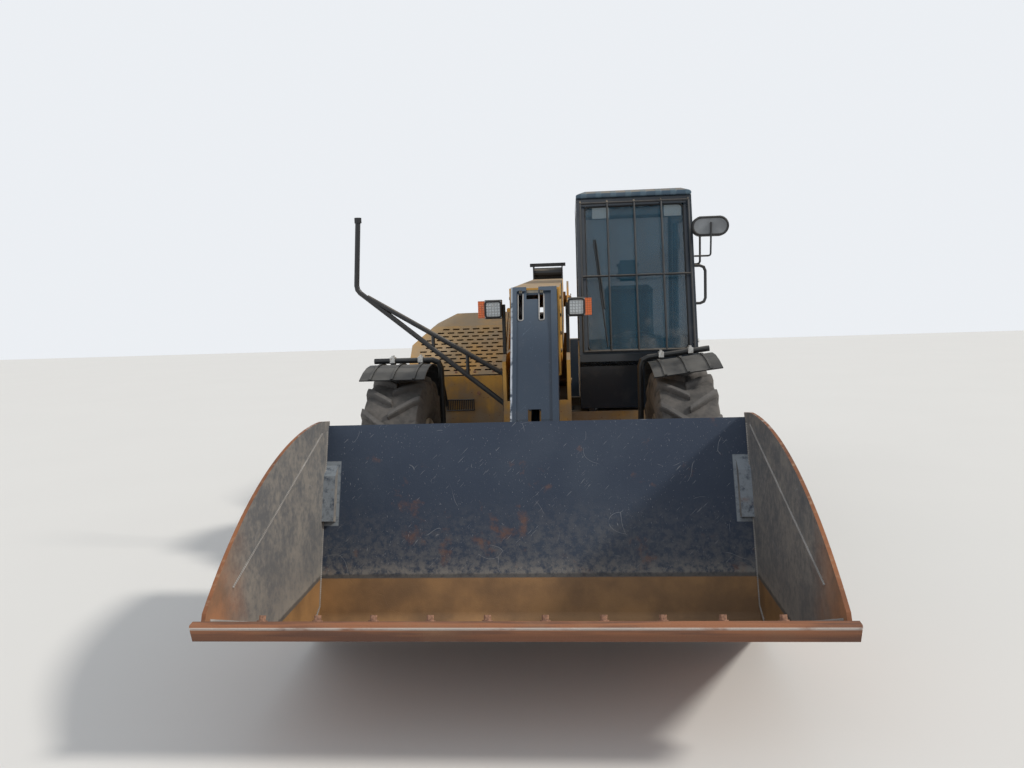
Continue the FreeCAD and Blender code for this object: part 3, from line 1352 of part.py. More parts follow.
def make_door_glass():
    owner = body("door_pane")
    shape = outline(owner, "YZ_Plane", "door_pane_outline", door_window(d.door_gap + d.seat_gap),
                    cab_outer - d.cab_wall * 0.6)
    pad(owner, shape, d.glass_wall)
    return owner


def make_guard():
    """Bars before the windscreen, parallel to it, with stubs to the cab posts."""
    pieces = []
    radius = d.guard_bar_radius
    low = d.cab_sill + radius * 3
    high = d.cab_top - d.cab_wall
    left = d.cab_inboard + d.post_width * 0.5
    right = cab_outer - d.post_width * 0.5
    count = int(d.guard_bars.number)
    lean = FreeCAD.Vector(0, rake.number, 1)
    length = (high - low) * root(1 + rake * rake)
    for index in range(count):
        across = left + (right - left) * (index / (count - 1))
        start = (across, screen_y(low) - d.guard_gap, low)
        pieces.append(bar(f"guard_bar_{index}", start, lean, radius, length))
        top = (across, screen_y(high) - d.guard_gap, high)
        pieces.append(bar(f"guard_tip_{index}", top, FreeCAD.Vector(0, 1, 0.6), radius, d.guard_gap - radius))
    for index, share in enumerate((0.0, 0.5, 1.0)):
        level = low + (high - low) * share
        start = (left, screen_y(level) - d.guard_gap, level)
        pieces.append(bar(f"guard_rail_{index}", start, X_AXIS, radius, right - left))
    for index, (across, share) in enumerate(((left, 0.04), (right, 0.04), (left, 0.96), (right, 0.96))):
        level = low + (high - low) * share
        start = (across, screen_y(level) - d.guard_gap, level)
        pieces.append(bar(f"guard_stub_{index}", start, Y_AXIS, radius, d.guard_gap - radius * rake - d.seat_gap))
    return join("guard_group", pieces)


def make_seat_frame():
    middle = d.cab_inboard + d.cab_width / 2
    half = d.seat_width / 2
    floor = d.cab_floor + d.cab_wall
    box = slab("seat_box", (middle - half * 0.7, d.seat_y - half * 0.7, floor),
               (middle + half * 0.7, d.seat_y + half * 0.8, d.seat_z - d.seat_width * 0.35))
    pan = slab("seat_pan", (middle - half * 0.9, d.seat_y - half, d.seat_z - d.seat_width * 0.35),
               (middle + half * 0.9, d.seat_y + half * 1.1, d.seat_z - d.seat_width * 0.28))
    return join("seat_frame_group", [box, pan])


def make_seat_cushion():
    """Cushion, backrest and headrest as closed solids, each on the one below."""
    middle = d.cab_inboard + d.cab_width / 2
    half = d.seat_width / 2
    cushion_low = d.seat_z - d.seat_width * 0.28
    owner = body("seat_body")
    profile = outline(owner, "YZ_Plane", "seat_profile", [
        (d.seat_y - half, cushion_low),
        (d.seat_y + half, cushion_low),
        (d.seat_y + half * 1.35, d.seat_z + d.seat_width * 1.15),
        (d.seat_y + half * 0.95, d.seat_z + d.seat_width * 1.15),
        (d.seat_y + half * 0.6, d.seat_z),
        (d.seat_y - half, d.seat_z),
    ], middle - half)
    pad(owner, profile, d.seat_width)
    head = outline(owner, "YZ_Plane", "seat_head", [
        (d.seat_y + half * 1.3, d.seat_z + d.seat_width * 1.1),
        (d.seat_y + half * 1.4, d.seat_z + d.seat_width * 1.6),
        (d.seat_y + half * 1.05, d.seat_z + d.seat_width * 1.6),
        (d.seat_y + half * 0.98, d.seat_z + d.seat_width * 1.1),
    ], middle - half * 0.5)
    pad(owner, head, half)
    return owner


def make_steering_column():
    """Column from the cab floor with a wheel that leans to the seat."""
    middle = d.cab_inboard + d.cab_width / 2
    floor = d.cab_floor + d.cab_wall
    step = d.tube_radius * 0.7
    along = d.cab_front_low + d.cab_wall * 2
    foot = (middle, along, floor + step * 0.85)
    lean = FreeCAD.Vector(0, 0.35, 1)
    height = (d.seat_z - floor) * 1.25 - step * 0.85
    half = d.tube_radius * 2.6
    plate = slab("steering_foot", (middle - half, along - half * 0.6, floor), (middle + half, along + half, floor + step))
    post = bar("steering_post", foot, lean, d.tube_radius * 1.5, height)
    top = lean.normalize() * height.number
    centre = tuple(size(value) + offset for value, offset in zip(foot, top))
    sides = d.ring_sides
    outer = stack("steering_outer", sides, [
        (-d.tube_radius * 0.6, d.wheel_rim_radius),
        (size(0), d.wheel_rim_radius + d.tube_radius * 0.6),
        (d.tube_radius * 0.6, d.wheel_rim_radius),
    ])
    inner = stack("steering_inner", sides, [
        (-d.tube_radius, d.wheel_rim_radius - d.tube_radius * 0.8),
        (d.tube_radius, d.wheel_rim_radius - d.tube_radius * 0.8),
    ])
    wheel = cut("steering_wheel", outer, inner)
    wheel.Placement = FreeCAD.Placement(FreeCAD.Vector(), FreeCAD.Rotation(X_AXIS, lean))
    move(wheel, *centre)
    spoke = doc.addObject("Part::Box", "steering_spoke")
    bind(spoke, "Length", d.wheel_rim_radius * 2)
    bind(spoke, "Width", d.tube_radius * 1.4)
    bind(spoke, "Height", d.tube_radius * 0.8)
    spoke.Placement = FreeCAD.Placement(FreeCAD.Vector(), FreeCAD.Rotation(Z_AXIS, lean))
    move(spoke, centre[0] - d.wheel_rim_radius, centre[1] - d.tube_radius * 0.5, centre[2] - d.tube_radius * 0.4)
    return join("steering_group", [plate, post, wheel, spoke])


# Engine cover: sloping slotted face, top, outer flank and rear, open towards the boom and below

def cover_side(inset, drop):
    """Side view of the cover, shrunk by an inset; drop opens it downwards."""
    slope = inset * 1.45
    run = (d.slot_run - d.cover_front) / (d.slot_rise - d.cover_low)
    return [
        (d.cover_front + slope - drop * run, d.cover_low - drop),
        (d.cover_rear - inset, d.cover_low - drop),
        (d.cover_rear - inset, d.cover_top - inset),
        (d.slot_run * 1.16 + slope * 0.2, d.cover_top - inset),
        (d.slot_run + slope * 0.4, d.slot_rise - inset * 0.8),
    ]


def cover_end(inset, drop):
    """End view of the cover, shrunk by an inset; drop opens it downwards and towards the boom."""
    return [
        (-d.cover_outer + inset, d.cover_low - drop),
        (-d.cover_inner + drop, d.cover_low - drop),
        (-d.cover_inner + drop, d.cover_top - inset),
        (-d.cover_shoulder * 0.84, d.cover_top - inset),
        (-d.cover_shoulder + inset * 0.4, d.cover_shoulder_z - inset),
        (-d.cover_outer + inset, d.cover_flank_z - inset * 0.4),
    ]


def make_cover():
    blocks = []
    for name, inset, drop in (("cover_outside", size(0), size(0)), ("cover_inside", d.cover_wall, d.cover_wall * 2)):
        side_body = body(name + "_side")
        side = outline(side_body, "YZ_Plane", name + "_side_view", cover_side(inset, drop), -d.cover_outer * 1.1)
        pad(side_body, side, d.cover_outer)
        end_body = body(name + "_end")
        end = outline(end_body, "XZ_Plane", name + "_end_view", cover_end(inset, drop), -d.cover_rear * 1.1)
        pad(end_body, end, d.cover_rear)
        both = doc.addObject("Part::MultiCommon", name)
        both.Shapes = [side_body, end_body]
        blocks.append(both)
    shell = cut("cover_shell", blocks[0], blocks[1])
    slots = []
    rise = d.slot_rise - d.cover_low
    run = d.slot_run - d.cover_front
    rows = int((rise.number - d.row_pitch.number) / d.row_pitch.number)
    columns = int((d.cover_outer.number - d.cover_inner.number) / d.slot_pitch.number)
    for row in range(rows):
        level = d.cover_low + d.row_pitch * (row + 1)
        back = d.cover_front + (level - d.cover_low) * run / rise
        flank = (level.number - d.cover_flank_z.number) * 1.1
        for column in range(columns):
            across = -d.cover_inner - d.slot_pitch * (column + 0.25 + 0.5 * (row % 2))
            end = across - d.slot_length
            if end.number - d.slot_height.number < -d.cover_outer.number + max(flank, 0) + d.cover_wall.number * 2:
                continue
            slots.append(slab(f"slot_{row}_{column}", (end, back - d.cover_wall, level),
                              (across, back + d.cover_wall * 3, level + d.slot_height)))
    pierced = cut("cover_pierced", shell, group("slot_tools", slots))
    barrels = []
    hinge_z = d.cover_top + d.hinge_radius + d.side_gap
    for index, share in enumerate((0.3, 0.8)):
        start = d.slot_run * 1.16 + (d.cover_rear - d.slot_run * 1.16) * share
        barrel = rod(f"cover_barrel_{index}", (-d.cover_inner, start, hinge_z), Y_AXIS, d.hinge_radius, d.hinge_radius * 4)
        tab = slab(f"cover_tab_{index}", (-d.cover_inner - d.hinge_radius * 2, start, d.cover_top - d.glass_wall),
                   (-d.cover_inner - d.side_gap, start + d.hinge_radius * 4, hinge_z))
        barrels.append(join(f"cover_knuckle_{index}", [barrel, tab]))
    hollow = rod("cover_pin_bore", (-d.cover_inner, d.cover_front, hinge_z), Y_AXIS,
                 d.hinge_radius * 0.5 + d.running_gap, d.cover_rear - d.cover_front)
    return cut("cover_whole", join("cover_with_hinges", [pierced] + barrels), hollow)


def make_skirt():
    """Fixed panels round the engine: front, outer side and rear below the cover, and the wall beside the boom."""
    wall = d.cover_wall
    top = d.cover_low - d.side_gap
    rear = d.cover_rear
    outside = slab("skirt_outside", (-d.cover_outer, d.cab_front_low, d.cab_floor - d.floor_wall),
                   (-d.cover_inner, rear, top))
    inside = slab("skirt_inside", (-d.cover_outer + wall, d.cab_front_low + wall, d.cab_floor - d.floor_wall * 2),
                  (-d.cover_inner, rear - wall, top + wall))
    ring = cut("skirt_ring", outside, inside)
    wall_body = body("skirt_wall")
    side = outline(wall_body, "YZ_Plane", "skirt_wall_side", [
        (d.cab_front_low, d.cab_floor - d.floor_wall),
        (rear, d.cab_floor - d.floor_wall),
        (rear, d.cover_top),
        (d.slot_run * 1.16, d.cover_top),
        (d.slot_run + wall, d.slot_rise),
        (d.cover_front + wall, d.cover_low),
        (d.cab_front_low, d.cover_low - d.side_gap),
    ], -d.cover_inner + d.side_gap)
    pad(wall_body, side, wall)
    link = slab("skirt_link", (-d.cover_inner - wall, d.cab_front_low, d.cab_floor - d.floor_wall),
                (-d.cover_inner + d.side_gap + wall, d.cab_front_low + wall, top))
    rear_link = slab("skirt_rear_link", (-d.cover_inner - wall, rear - wall, d.cab_floor - d.floor_wall),
                     (-d.cover_inner + d.side_gap + wall, rear, top))
    hinge_z = d.cover_top + d.hinge_radius + d.side_gap
    pieces = [ring, wall_body, link, rear_link]
    start = d.slot_run * 1.16
    pieces.append(rod("skirt_pin", (-d.cover_inner, start, hinge_z), Y_AXIS, d.hinge_radius * 0.5, rear - start))
    for index, share in enumerate((0.0, 0.55, 0.92)):
        along = start + (rear - start) * share
        pieces.append(rod(f"skirt_barrel_{index}", (-d.cover_inner, along, hinge_z), Y_AXIS, d.hinge_radius,
                          d.hinge_radius * 3))
        pieces.append(slab(f"skirt_tab_{index}", (-d.cover_inner + d.side_gap, along, d.cover_top - wall),
                           (-d.cover_inner + d.side_gap + wall * 0.7, along + d.hinge_radius * 3, hinge_z + wall * 0.4)))
    return join("skirt_group", pieces)


def make_engine():
    sill = d.cab_floor - d.floor_wall
    left = -d.cover_outer + d.cover_wall * 4
    front = d.slot_run - d.cab_wall
    rim = sill + d.engine_height * 0.9
    low = slab("engine_low", (left, front, sill), (left + d.engine_width, front + d.engine_length * 0.88, rim))
    head = slab("engine_head", (left + d.engine_width * 0.2, front + d.engine_length * 0.12, rim),
                (left + d.engine_width * 0.8, front + d.engine_length * 0.8, sill + d.engine_height))
    return join("engine_group", [low, head])


# Tanks, drive line, counterweight and hitch

def make_tank():
    """Fuel tank below the cab with two steps cut into its outer face."""
    owner = body("tank_body")
    top = d.cab_floor - d.floor_wall * 4
    side = rectangle(owner, "YZ_Plane", "tank_side", (d.cab_front_low, d.tank_low), (d.cab_rear, top),
                     d.plate_inside + d.plate_wall + d.side_gap * 2)
    pad(owner, side, cab_outer - d.plate_inside - d.plate_wall - d.side_gap * 2)
    step = outline(owner, "XZ_Plane", "tank_step", [
        (cab_outer + d.side_gap, d.tank_low + d.floor_wall * 1.5),
        (cab_outer + d.side_gap, top - d.floor_wall * 2.5),
        (cab_outer - d.post_width * 2.6, top - d.floor_wall * 2.5),
        (cab_outer - d.post_width * 2.6, d.tank_low + d.floor_wall * 1.5),
    ], -d.cab_front_low - d.post_width * 3)
    pocket(owner, step, d.door_rear - d.cab_front_low - d.post_width * 5)
    return owner


def make_hydraulic_tank():
    top = d.cab_floor - d.floor_wall * 4
    block = slab("hydraulic_block", (-d.cover_outer, d.cab_front_low, d.tank_low),
                 (-d.cover_inner * 1.6, d.cab_rear, top))
    return group("hydraulic_tank_group", [block])


def make_drive_line():
    """Gearbox under the frame's belly and a shaft to each axle."""
    middle = d.wheelbase / 2
    half = d.diff_radius
    box = slab("gearbox", (-half * 0.7, middle - half * 1.4, d.gearbox_low),
               (half * 0.7, middle + half * 1.4, d.frame_belly))
    pieces = [box]
    height = d.tyre_radius - d.gearbox_low - d.shaft_radius * 2.2
    yoke = d.shaft_radius * 1.3
    near = half + d.seat_gap * 2
    reach = middle - half * 1.4 - near
    for name, start, side in (("front", near, 1), ("rear", d.wheelbase - near, -1)):
        ends = (start, start + yoke * 2) if side > 0 else (start - yoke * 2, start)
        pieces.append(slab(f"yoke_{name}", (-yoke, ends[0], d.tyre_radius - yoke), (yoke, ends[1], d.tyre_radius + yoke)))
        way = FreeCAD.Vector(0, reach.number * side, -height.number)
        pieces.append(bar(f"shaft_{name}", (0, start + yoke * side, d.tyre_radius), way, d.shaft_radius,
                          root(reach * reach + height * height) - yoke / 2))
    return join("drive_line_group", pieces)


def make_counterweight():
    owner = body("weight_body")
    near = d.frame_rear
    far = near + d.weight_depth
    side = outline(owner, "YZ_Plane", "weight_side", [
        (near, d.weight_low),
        (far - d.weight_depth * 0.3, d.weight_low),
        (far, d.weight_low + d.weight_depth * 0.5),
        (far, d.weight_top - d.weight_depth * 0.5, d.weight_depth * 0.51),
        (far - d.weight_depth * 0.5, d.weight_top),
        (near, d.weight_top),
    ], -d.weight_half)
    pad(owner, side, d.weight_half * 2)
    return owner


def make_rear_lamps():
    face = d.frame_rear + d.weight_depth
    level = d.weight_top - d.weight_depth
    lamps = []
    for index, side in enumerate((1, -1)):
        low = d.weight_half - d.lamp_half * 2.6
        high = d.weight_half - d.lamp_half * 0.6
        left, right = (low, high) if side > 0 else (-high, -low)
        lamps.append(slab(f"rear_lamp_{index}", (left, face, level), (right, face + d.lamp_half * 0.5, level + d.lamp_half)))
    return group("rear_lamps_group", lamps)


def make_hitch():
    """Tow jaw on the counterweight: two plates and a bored hole for the pin."""
    owner = body("hitch_body")
    face = d.frame_rear + d.weight_depth
    level = d.weight_low + d.weight_depth * 0.5
    half = d.hitch_half
    back = rectangle(owner, "XZ_Plane", "hitch_back", (-half * 1.4, level), (half * 1.4, level + half * 3), -face)
    plate = pad(owner, back, d.lug_plate)
    plate.Reversed = True
    for index, lift in enumerate((level + half * 0.4, level + half * 2)):
        jaw = outline(owner, "XY_Plane", f"hitch_jaw_{index}", [
            (-half, face + d.lug_plate / 2),
            (half, face + d.lug_plate / 2),
            (half, face + half * 1.2, -half * 1.01),
            (-half, face + half * 1.2),
        ], lift)
        pad(owner, jaw, d.lug_plate)
    hole = circle(owner, "XY_Plane", "hitch_hole", (0, face + half * 1.2), d.hitch_pin_radius, level + half * 3)
    pocket(owner, hole, half * 3)
    return owner


# Lamps, mirror ladder, mirror and handle

def make_headlamps():
    """Housings before the boom's mouth on posts that stand on the frame plates."""
    front = -d.frame_front
    depth = d.lamp_half * 1.5
    lamps = []
    for index, side in enumerate((1, -1)):
        inner = d.lamp_x - d.lamp_half
        outer = d.lamp_x + d.lamp_half
        boxes = (
            # near X, far X, front Y, rear Y, low Z, high Z
            (inner, outer, front, front + depth, d.lamp_z - d.lamp_height / 2, d.lamp_z + d.lamp_height / 2),
            (d.plate_inside, outer - d.lamp_half, front + depth, front + depth + d.glass_wall * 2,
             d.lamp_z - d.lamp_height / 4, d.lamp_z + d.lamp_height / 4),
            (d.plate_inside, d.plate_inside + d.plate_wall, front + depth, front + depth + d.plate_wall * 1.5,
             d.frame_top, d.lamp_z + d.lamp_height / 4),
        )
        pieces = []
        for part, (near, far, first, last, low, high) in enumerate(boxes):
            left, right = (near, far) if side > 0 else (-far, -near)
            pieces.append(slab(f"lamp_{index}_{part}", (left, first, low), (right, last, high)))
        lamps.append(join(f"headlamp_{index}", pieces))
    return group("headlamps_group", lamps)


def lamp_fronts(name, near, far, depth):
    """A lens on each headlamp between two distances from the centreline."""
    front = -d.frame_front
    half = d.lamp_height / 2 - d.glass_wall
    lenses = []
    for index, side in enumerate((1, -1)):
        left, right = (near, far) if side > 0 else (-far, -near)
        lenses.append(slab(f"{name}_{index}", (left, front - d.glass_wall, d.lamp_z - half),
                           (right, front - d.glass_wall + depth, d.lamp_z + half)))
    return group(name + "_group", lenses)


def make_work_lamps():
    """Two lamps under the cab's top rail, behind the windscreen."""
    top = pane_high - d.seat_gap
    lamps = []
    for index, side in enumerate((1, -1)):
        corner = pane_left + d.work_lamp_inset if side > 0 else pane_right - d.work_lamp_outer - d.work_lamp_width
        front = screen_y(top) + d.cab_wall * 0.4 + d.glass_wall + d.seat_gap * 2
        lamps.append(slab(f"work_lamp_{index}", (corner, front, top - d.work_lamp_height),
                          (corner + d.work_lamp_width, front + d.guard_gap, top)))
    return group("work_lamps_group", lamps)


def make_hose_guide():
    """Frame over the boom's rear end, in the boom's frame: two cheeks, a top bar, a roller and a plate."""
    wall = d.boom_wall
    far = d.boom_tail * 0.7
    half = d.guide_half
    outside = d.boom_half
    top = d.boom_top + d.guide_rise
    cheeks = []
    for index, (left, right) in enumerate(((-outside, -outside + wall), (outside - wall, outside))):
        cheeks.append(slab(f"guide_cheek_{index}", (left, -far, d.boom_top), (right, far * 0.4, top)))
    lintel = slab("guide_lintel", (-half, -far * 0.9, top - wall * 3), (half, -far * 0.9 + wall * 2, top))
    roller = bar("guide_roller", (-outside + wall / 2, -far * 0.3, d.boom_top + d.guide_rise * 0.4), X_AXIS,
                 d.guide_rise * 0.25, (outside - wall / 2) * 2, 12)
    plate = slab("guide_plate", (-outside + wall / 2, far * 0.4 - wall, d.boom_top),
                 (outside - wall / 2, far * 0.4, top - wall * 4))
    return join("hose_guide_group", cheeks + [lintel, roller, plate])


def make_mirror_ladder():
    """Two tubes rise from the frame to an upright on the engine side, with two rungs and a foot plate."""
    radius = d.tube_radius * 0.85
    side = d.plate_inside + d.plate_wall
    along = d.arm_y
    inside = side + d.plate_wall * 0.5
    top_x = -d.arm_reach + d.arm_lean
    lower = bent_tube("ladder_lower", [
        (-inside, along, d.arm_low_z),
        (-d.arm_reach, along, d.arm_elbow_z),
        (top_x, along, d.arm_top_z),
    ], radius, d.tube_radius * 3)
    knob = bar("ladder_knob", (top_x, along, d.arm_top_z - radius), Z_AXIS, radius * 1.4, radius * 2)
    slope = (d.arm_elbow_z - d.arm_low_z) / (d.arm_reach - side)
    join_x = d.arm_reach - d.tube_radius * 3.5
    join_z = d.arm_elbow_z - slope * (d.tube_radius * 3)
    upper = bent_tube("ladder_upper", [
        (-inside, along, d.arm_high_z),
        (-join_x, along, join_z),
    ], radius, d.tube_radius)
    plate = slab("ladder_plate", (-side - d.plate_wall, along - d.tube_radius * 2.5, d.arm_low_z - d.tube_radius * 2),
                 (-side, along + d.tube_radius * 2.5, d.arm_high_z + d.tube_radius * 2))
    pieces = [lower, upper, plate, knob]
    upper_slope = (join_z - d.arm_high_z) / (join_x - side)
    for index, share in enumerate((0.26, 0.49)):
        across = (d.arm_reach - side) * share
        level = d.arm_low_z + slope * across
        pieces.append(bar(f"ladder_rung_{index}", (-side - across, along, level), Z_AXIS, radius * 0.7,
                          d.arm_high_z + upper_slope * across - level))
    return join("ladder_group", pieces)


def make_mirror():
    """Rounded head on a thin rod from the cab's front post."""
    owner = body("mirror_head")
    half = d.mirror_round
    reach = d.mirror_round
    face = outline(owner, "XZ_Plane", "mirror_face", [
        (d.mirror_x - reach, d.mirror_z - half),
        (d.mirror_x + reach, d.mirror_z - half, -half * 1.01),
        (d.mirror_x + reach, d.mirror_z + half),
        (d.mirror_x - reach, d.mirror_z + half, -half * 1.01),
    ], -d.mirror_y)
    back = pad(owner, face, half * 0.7)
    back.Reversed = True
    stalk_y = d.mirror_y + half * 0.35
    root_z = d.cab_sill + (d.cab_top - d.cab_sill) * 0.55
    anchor = screen_y(root_z) + d.post_width * 0.5
    stalk = bent_tube("mirror_stalk", [
        (cab_outer, anchor, root_z),
        (cab_outer + d.post_width * 0.75, anchor, root_z),
        (d.mirror_x - reach, stalk_y, d.mirror_z - half * 0.5),
    ], d.tube_radius * 0.4, d.tube_radius)
    return join("mirror_group", [owner, stalk])


def make_handle():
    level = d.cab_sill + (d.cab_top - d.cab_sill) * 0.42
    along = screen_y(level) + d.post_width * 0.6
    reach = cab_outer + d.post_width * 1.3
    half = d.post_width * 2.3
    return bent_tube("handle_tube", [
        (cab_outer, along, level - half),
        (reach, along, level - half),
        (reach, along, level + half),
        (cab_outer, along, level + half),
    ], d.tube_radius * 0.55, d.tube_radius * 2)


# Assembly

def build():
    tyre = make_tyre()
    rim = make_rim()
    node("chassis_frame", make_frame())
    corners = (
        # name, side, along Y, tilt of the mudguard
        ("front_right", 1, size(0), d.fender_tilt),
        ("front_left", -1, size(0), size(0)),
        ("rear_right", 1, d.wheelbase, size(0)),
        ("rear_left", -1, d.wheelbase, size(0)),
    )
    for place, side, along, tilt in corners:
        at = (d.half_track * side, along, d.tyre_radius)
        node("knuckle_" + place, make_knuckle("knuckle_body_" + place, side), *at)
        node("mudguard_" + place, make_fender("mudguard_group_" + place, side, tilt), *at)
        node("tyre_" + place, group("tyre_group_" + place, [tyre]), *at)
        facing = rim if side > 0 else mirror_x("rim_mirror_" + place, rim)
        node("rim_" + place, group("rim_group_" + place, [facing]), *at)
    node("axle_front", make_axle("axle_front_body"), 0, 0, d.tyre_radius)
    node("axle_rear", make_axle("axle_rear_body"), 0, d.wheelbase, d.tyre_radius)
    boom_node("boom_outer_tube", make_outer_boom())
    boom_node("boom_slide_pads", make_slide_pads())
    boom_node("boom_inner_nose", make_inner_boom())
    boom_node("hose_guide", make_hose_guide())
    node("bucket_shell", make_bucket())
    node("cutting_edge", make_cutting_edge())
    node("bucket_carriage", make_carriage())

    eye = from_boom(-d.lift_eye_reach, -d.lift_eye_drop)
    cylinders = (
        # name, root along Y, root height, eye along Y, eye height, barrel radius, length, root pin, rod's inner end
        ("lift", d.lift_root_y, d.lift_root_z, eye[0], eye[1], d.lift_bore_radius, d.lift_barrel, d.tilt_pin_radius,
         d.eye_radius * 1.8),
        ("tilt", -d.tilt_root_y, d.tilt_root_z, -d.link_pin_y, d.link_pin_z, d.tilt_bore_radius, d.tilt_barrel,
         d.link_pin_radius, d.tilt_tail),
    )
    for name, root_y, root_z, eye_y, eye_z, radius, length, pin, back in cylinders:
        run = root_y - eye_y
        rise = eye_z - root_z
        total = root(run * run + rise * rise)
        barrel = make_barrel(name + "_barrel_body", radius, length, pin)
        turn(barrel, X_AXIS, -arc_tangent(rise / run))
        node(name + "_barrel", barrel, 0, root_y, root_z)
        stem = make_rod(name + "_rod_body", total, back)
        turn(stem, X_AXIS, -arc_tangent(rise / run))
        node(name + "_rod", stem, 0, root_y, root_z)

    node("cab_shell", make_cab_shell())
    node("cab_roof", make_cab_roof())
    node("cab_glass", make_cab_glass())
    node("cab_door", make_door_frame())
    node("cab_door_glass", make_door_glass())
    node("cab_door_hinges", make_door_hinges())
    node("windscreen_guard", make_guard())
    node("seat_frame", make_seat_frame())
    node("seat_cushion", make_seat_cushion())
    node("steering_column", make_steering_column())
    node("engine_cover", make_cover())
    node("engine_skirt", make_skirt())
    node("engine_block", make_engine())
    node("fuel_tank", make_tank())
    node("hydraulic_tank", make_hydraulic_tank())
    node("drive_line", make_drive_line())
    node("counterweight", make_counterweight())
    node("rear_lamps", make_rear_lamps())
    node("tow_hitch", make_hitch())
    node("headlamp_housings", make_headlamps())
    node("headlamp_lenses", lamp_fronts("headlamp_lens", d.lamp_x - d.lamp_half, d.lamp_x + d.lamp_half, d.glass_wall))
    node("indicator_lenses", lamp_fronts("indicator", d.lamp_x + d.lamp_half, d.lamp_x + d.lamp_half * 1.8, d.lamp_half))
    node("work_lamps", make_work_lamps())
    node("mirror_ladder", make_mirror_ladder())
    node("cab_mirror", make_mirror())
    node("grab_handle", make_handle())


def check_and_write():
    """Stop on a failed object, then write each node's shape."""
    doc.recompute()
    failed = [item.Name for item in doc.Objects if "Invalid" in item.State or "Error" in item.State]
    if failed:
        raise ValueError(f"failed objects: {failed}")
    for name, thing in nodes.items():
        shape = thing.Shape
        if shape.isNull() or not shape.isValid() or not shape.Solids:
            raise ValueError(f"{name} has no valid solid")
    os.makedirs("parts", exist_ok=True)
    for name, thing in nodes.items():
        thing.Shape.exportStep(f"parts/{name}.step")
        box = thing.Shape.BoundBox
        print(name, len(thing.Shape.Solids), "solids", round(thing.Shape.Volume / 1e6, 2), "litres",
              [round(value) for value in (box.XMin, box.YMin, box.ZMin, box.XMax, box.YMax, box.ZMax)])


build()
check_and_write()
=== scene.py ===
# %% [markdown]
# A telescopic wheel loader, dressed for its portrait. The solids come packed from the CAD side, in metres,
# with +Z up, the bucket towards -Y and the cab towards +X. This file never moves them: it gives each one
# a finish worked out from its place on the machine, adds the small hardware, and sets floor, light and camera.

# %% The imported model
import math
import bpy
import bmesh
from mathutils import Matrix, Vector


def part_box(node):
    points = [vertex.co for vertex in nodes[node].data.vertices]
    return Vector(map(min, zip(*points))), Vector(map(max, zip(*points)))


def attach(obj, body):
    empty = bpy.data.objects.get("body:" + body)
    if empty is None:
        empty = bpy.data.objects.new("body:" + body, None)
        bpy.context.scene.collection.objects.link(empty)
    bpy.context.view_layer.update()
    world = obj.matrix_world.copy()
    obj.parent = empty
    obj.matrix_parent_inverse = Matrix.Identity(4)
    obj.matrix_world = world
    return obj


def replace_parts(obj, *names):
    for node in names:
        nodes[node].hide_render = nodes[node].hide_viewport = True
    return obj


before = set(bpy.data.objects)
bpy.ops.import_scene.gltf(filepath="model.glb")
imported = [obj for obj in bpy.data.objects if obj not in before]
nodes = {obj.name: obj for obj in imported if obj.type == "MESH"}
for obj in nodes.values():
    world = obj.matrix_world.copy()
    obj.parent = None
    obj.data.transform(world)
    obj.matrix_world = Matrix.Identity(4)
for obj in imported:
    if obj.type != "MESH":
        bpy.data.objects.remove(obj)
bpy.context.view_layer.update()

# %% [markdown]
# A finish is easiest to read as a sum: paint, minus what has chipped, plus the dust that lies on it.
# Blender adds such sums as Math nodes, so a small class stands for one socket, and plain Python operators
# on it add the nodes. The reflected forms are there for sums that start with a number, as in 1 - mask.

# %% Sockets that can be added and multiplied
class Wire:
    """One output socket of a material. Sums written on it add Math nodes."""

    def __init__(self, socket):
        self.socket = socket

    def add(self, kind, output=0, settings=None, stops=None, inputs=None):
        """Add any node: its settings first, then the values or links of its sockets."""
        node = self.socket.id_data.nodes.new(kind)
        for name, value in (settings or {}).items():
            setattr(node, name, value)
        for index, (place, colour) in enumerate(stops or ()):
            ramp = node.color_ramp.elements
            element = ramp[index] if index < 2 else ramp.new(place)
            element.position = place
            element.color = colour
        for name, value in (inputs or {}).items():
            if isinstance(value, Wire):
                self.socket.id_data.links.new(value.socket, node.inputs[name])
            else:
                node.inputs[name].default_value = value
        return Wire(node.outputs[output])

    def maths(self, operation, first, second=0.0):
        return self.add("ShaderNodeMath", settings={"operation": operation}, inputs={0: first, 1: second})

    def __add__(self, other):
        return self.maths("ADD", self, other)

    def __radd__(self, other):
        return self.maths("ADD", other, self)

    def __sub__(self, other):
        return self.maths("SUBTRACT", self, other)

    def __rsub__(self, other):
        return self.maths("SUBTRACT", other, self)

    def __mul__(self, other):
        return self.maths("MULTIPLY", self, other)

    def __rmul__(self, other):
        return self.maths("MULTIPLY", other, self)

    def __pow__(self, power):
        return self.maths("POWER", self, power)

    def __abs__(self):
        return self.maths("ABSOLUTE", self)

    def wave(self, length):
        """A sine of this value, with one period in each length."""
        return self.maths("SINE", self * (2 * math.pi / length))

    def highest(self, other):
        """The larger of this value and another."""
        return self.maths("MAXIMUM", self, other)

# %% [markdown]
# Every finish needs the same few masks. Noise at several sizes breaks up colour; a band turns a smooth value
# into a patch with a soft edge; scratches are noise pulled long in one direction; and dust settles on what
# faces up. All of them read the piece's own place, so they stay put when a joint moves. A colour is then a base
# with layers over it, each one shown where its mask is.

# %% Masks that the finishes share
def place_of(tree):
    """Object coordinates of the piece that a material is on."""
    return Wire(tree.nodes.new("ShaderNodeTexCoord").outputs["Object"])


def facing(place):
    """The surface's own direction, in the piece's frame."""
    return place.add("ShaderNodeTexCoord", output="Normal")


def part(vector, axis):
    """One component of a vector, by its letter."""
    return vector.add("ShaderNodeSeparateXYZ", output=axis, inputs={0: vector})


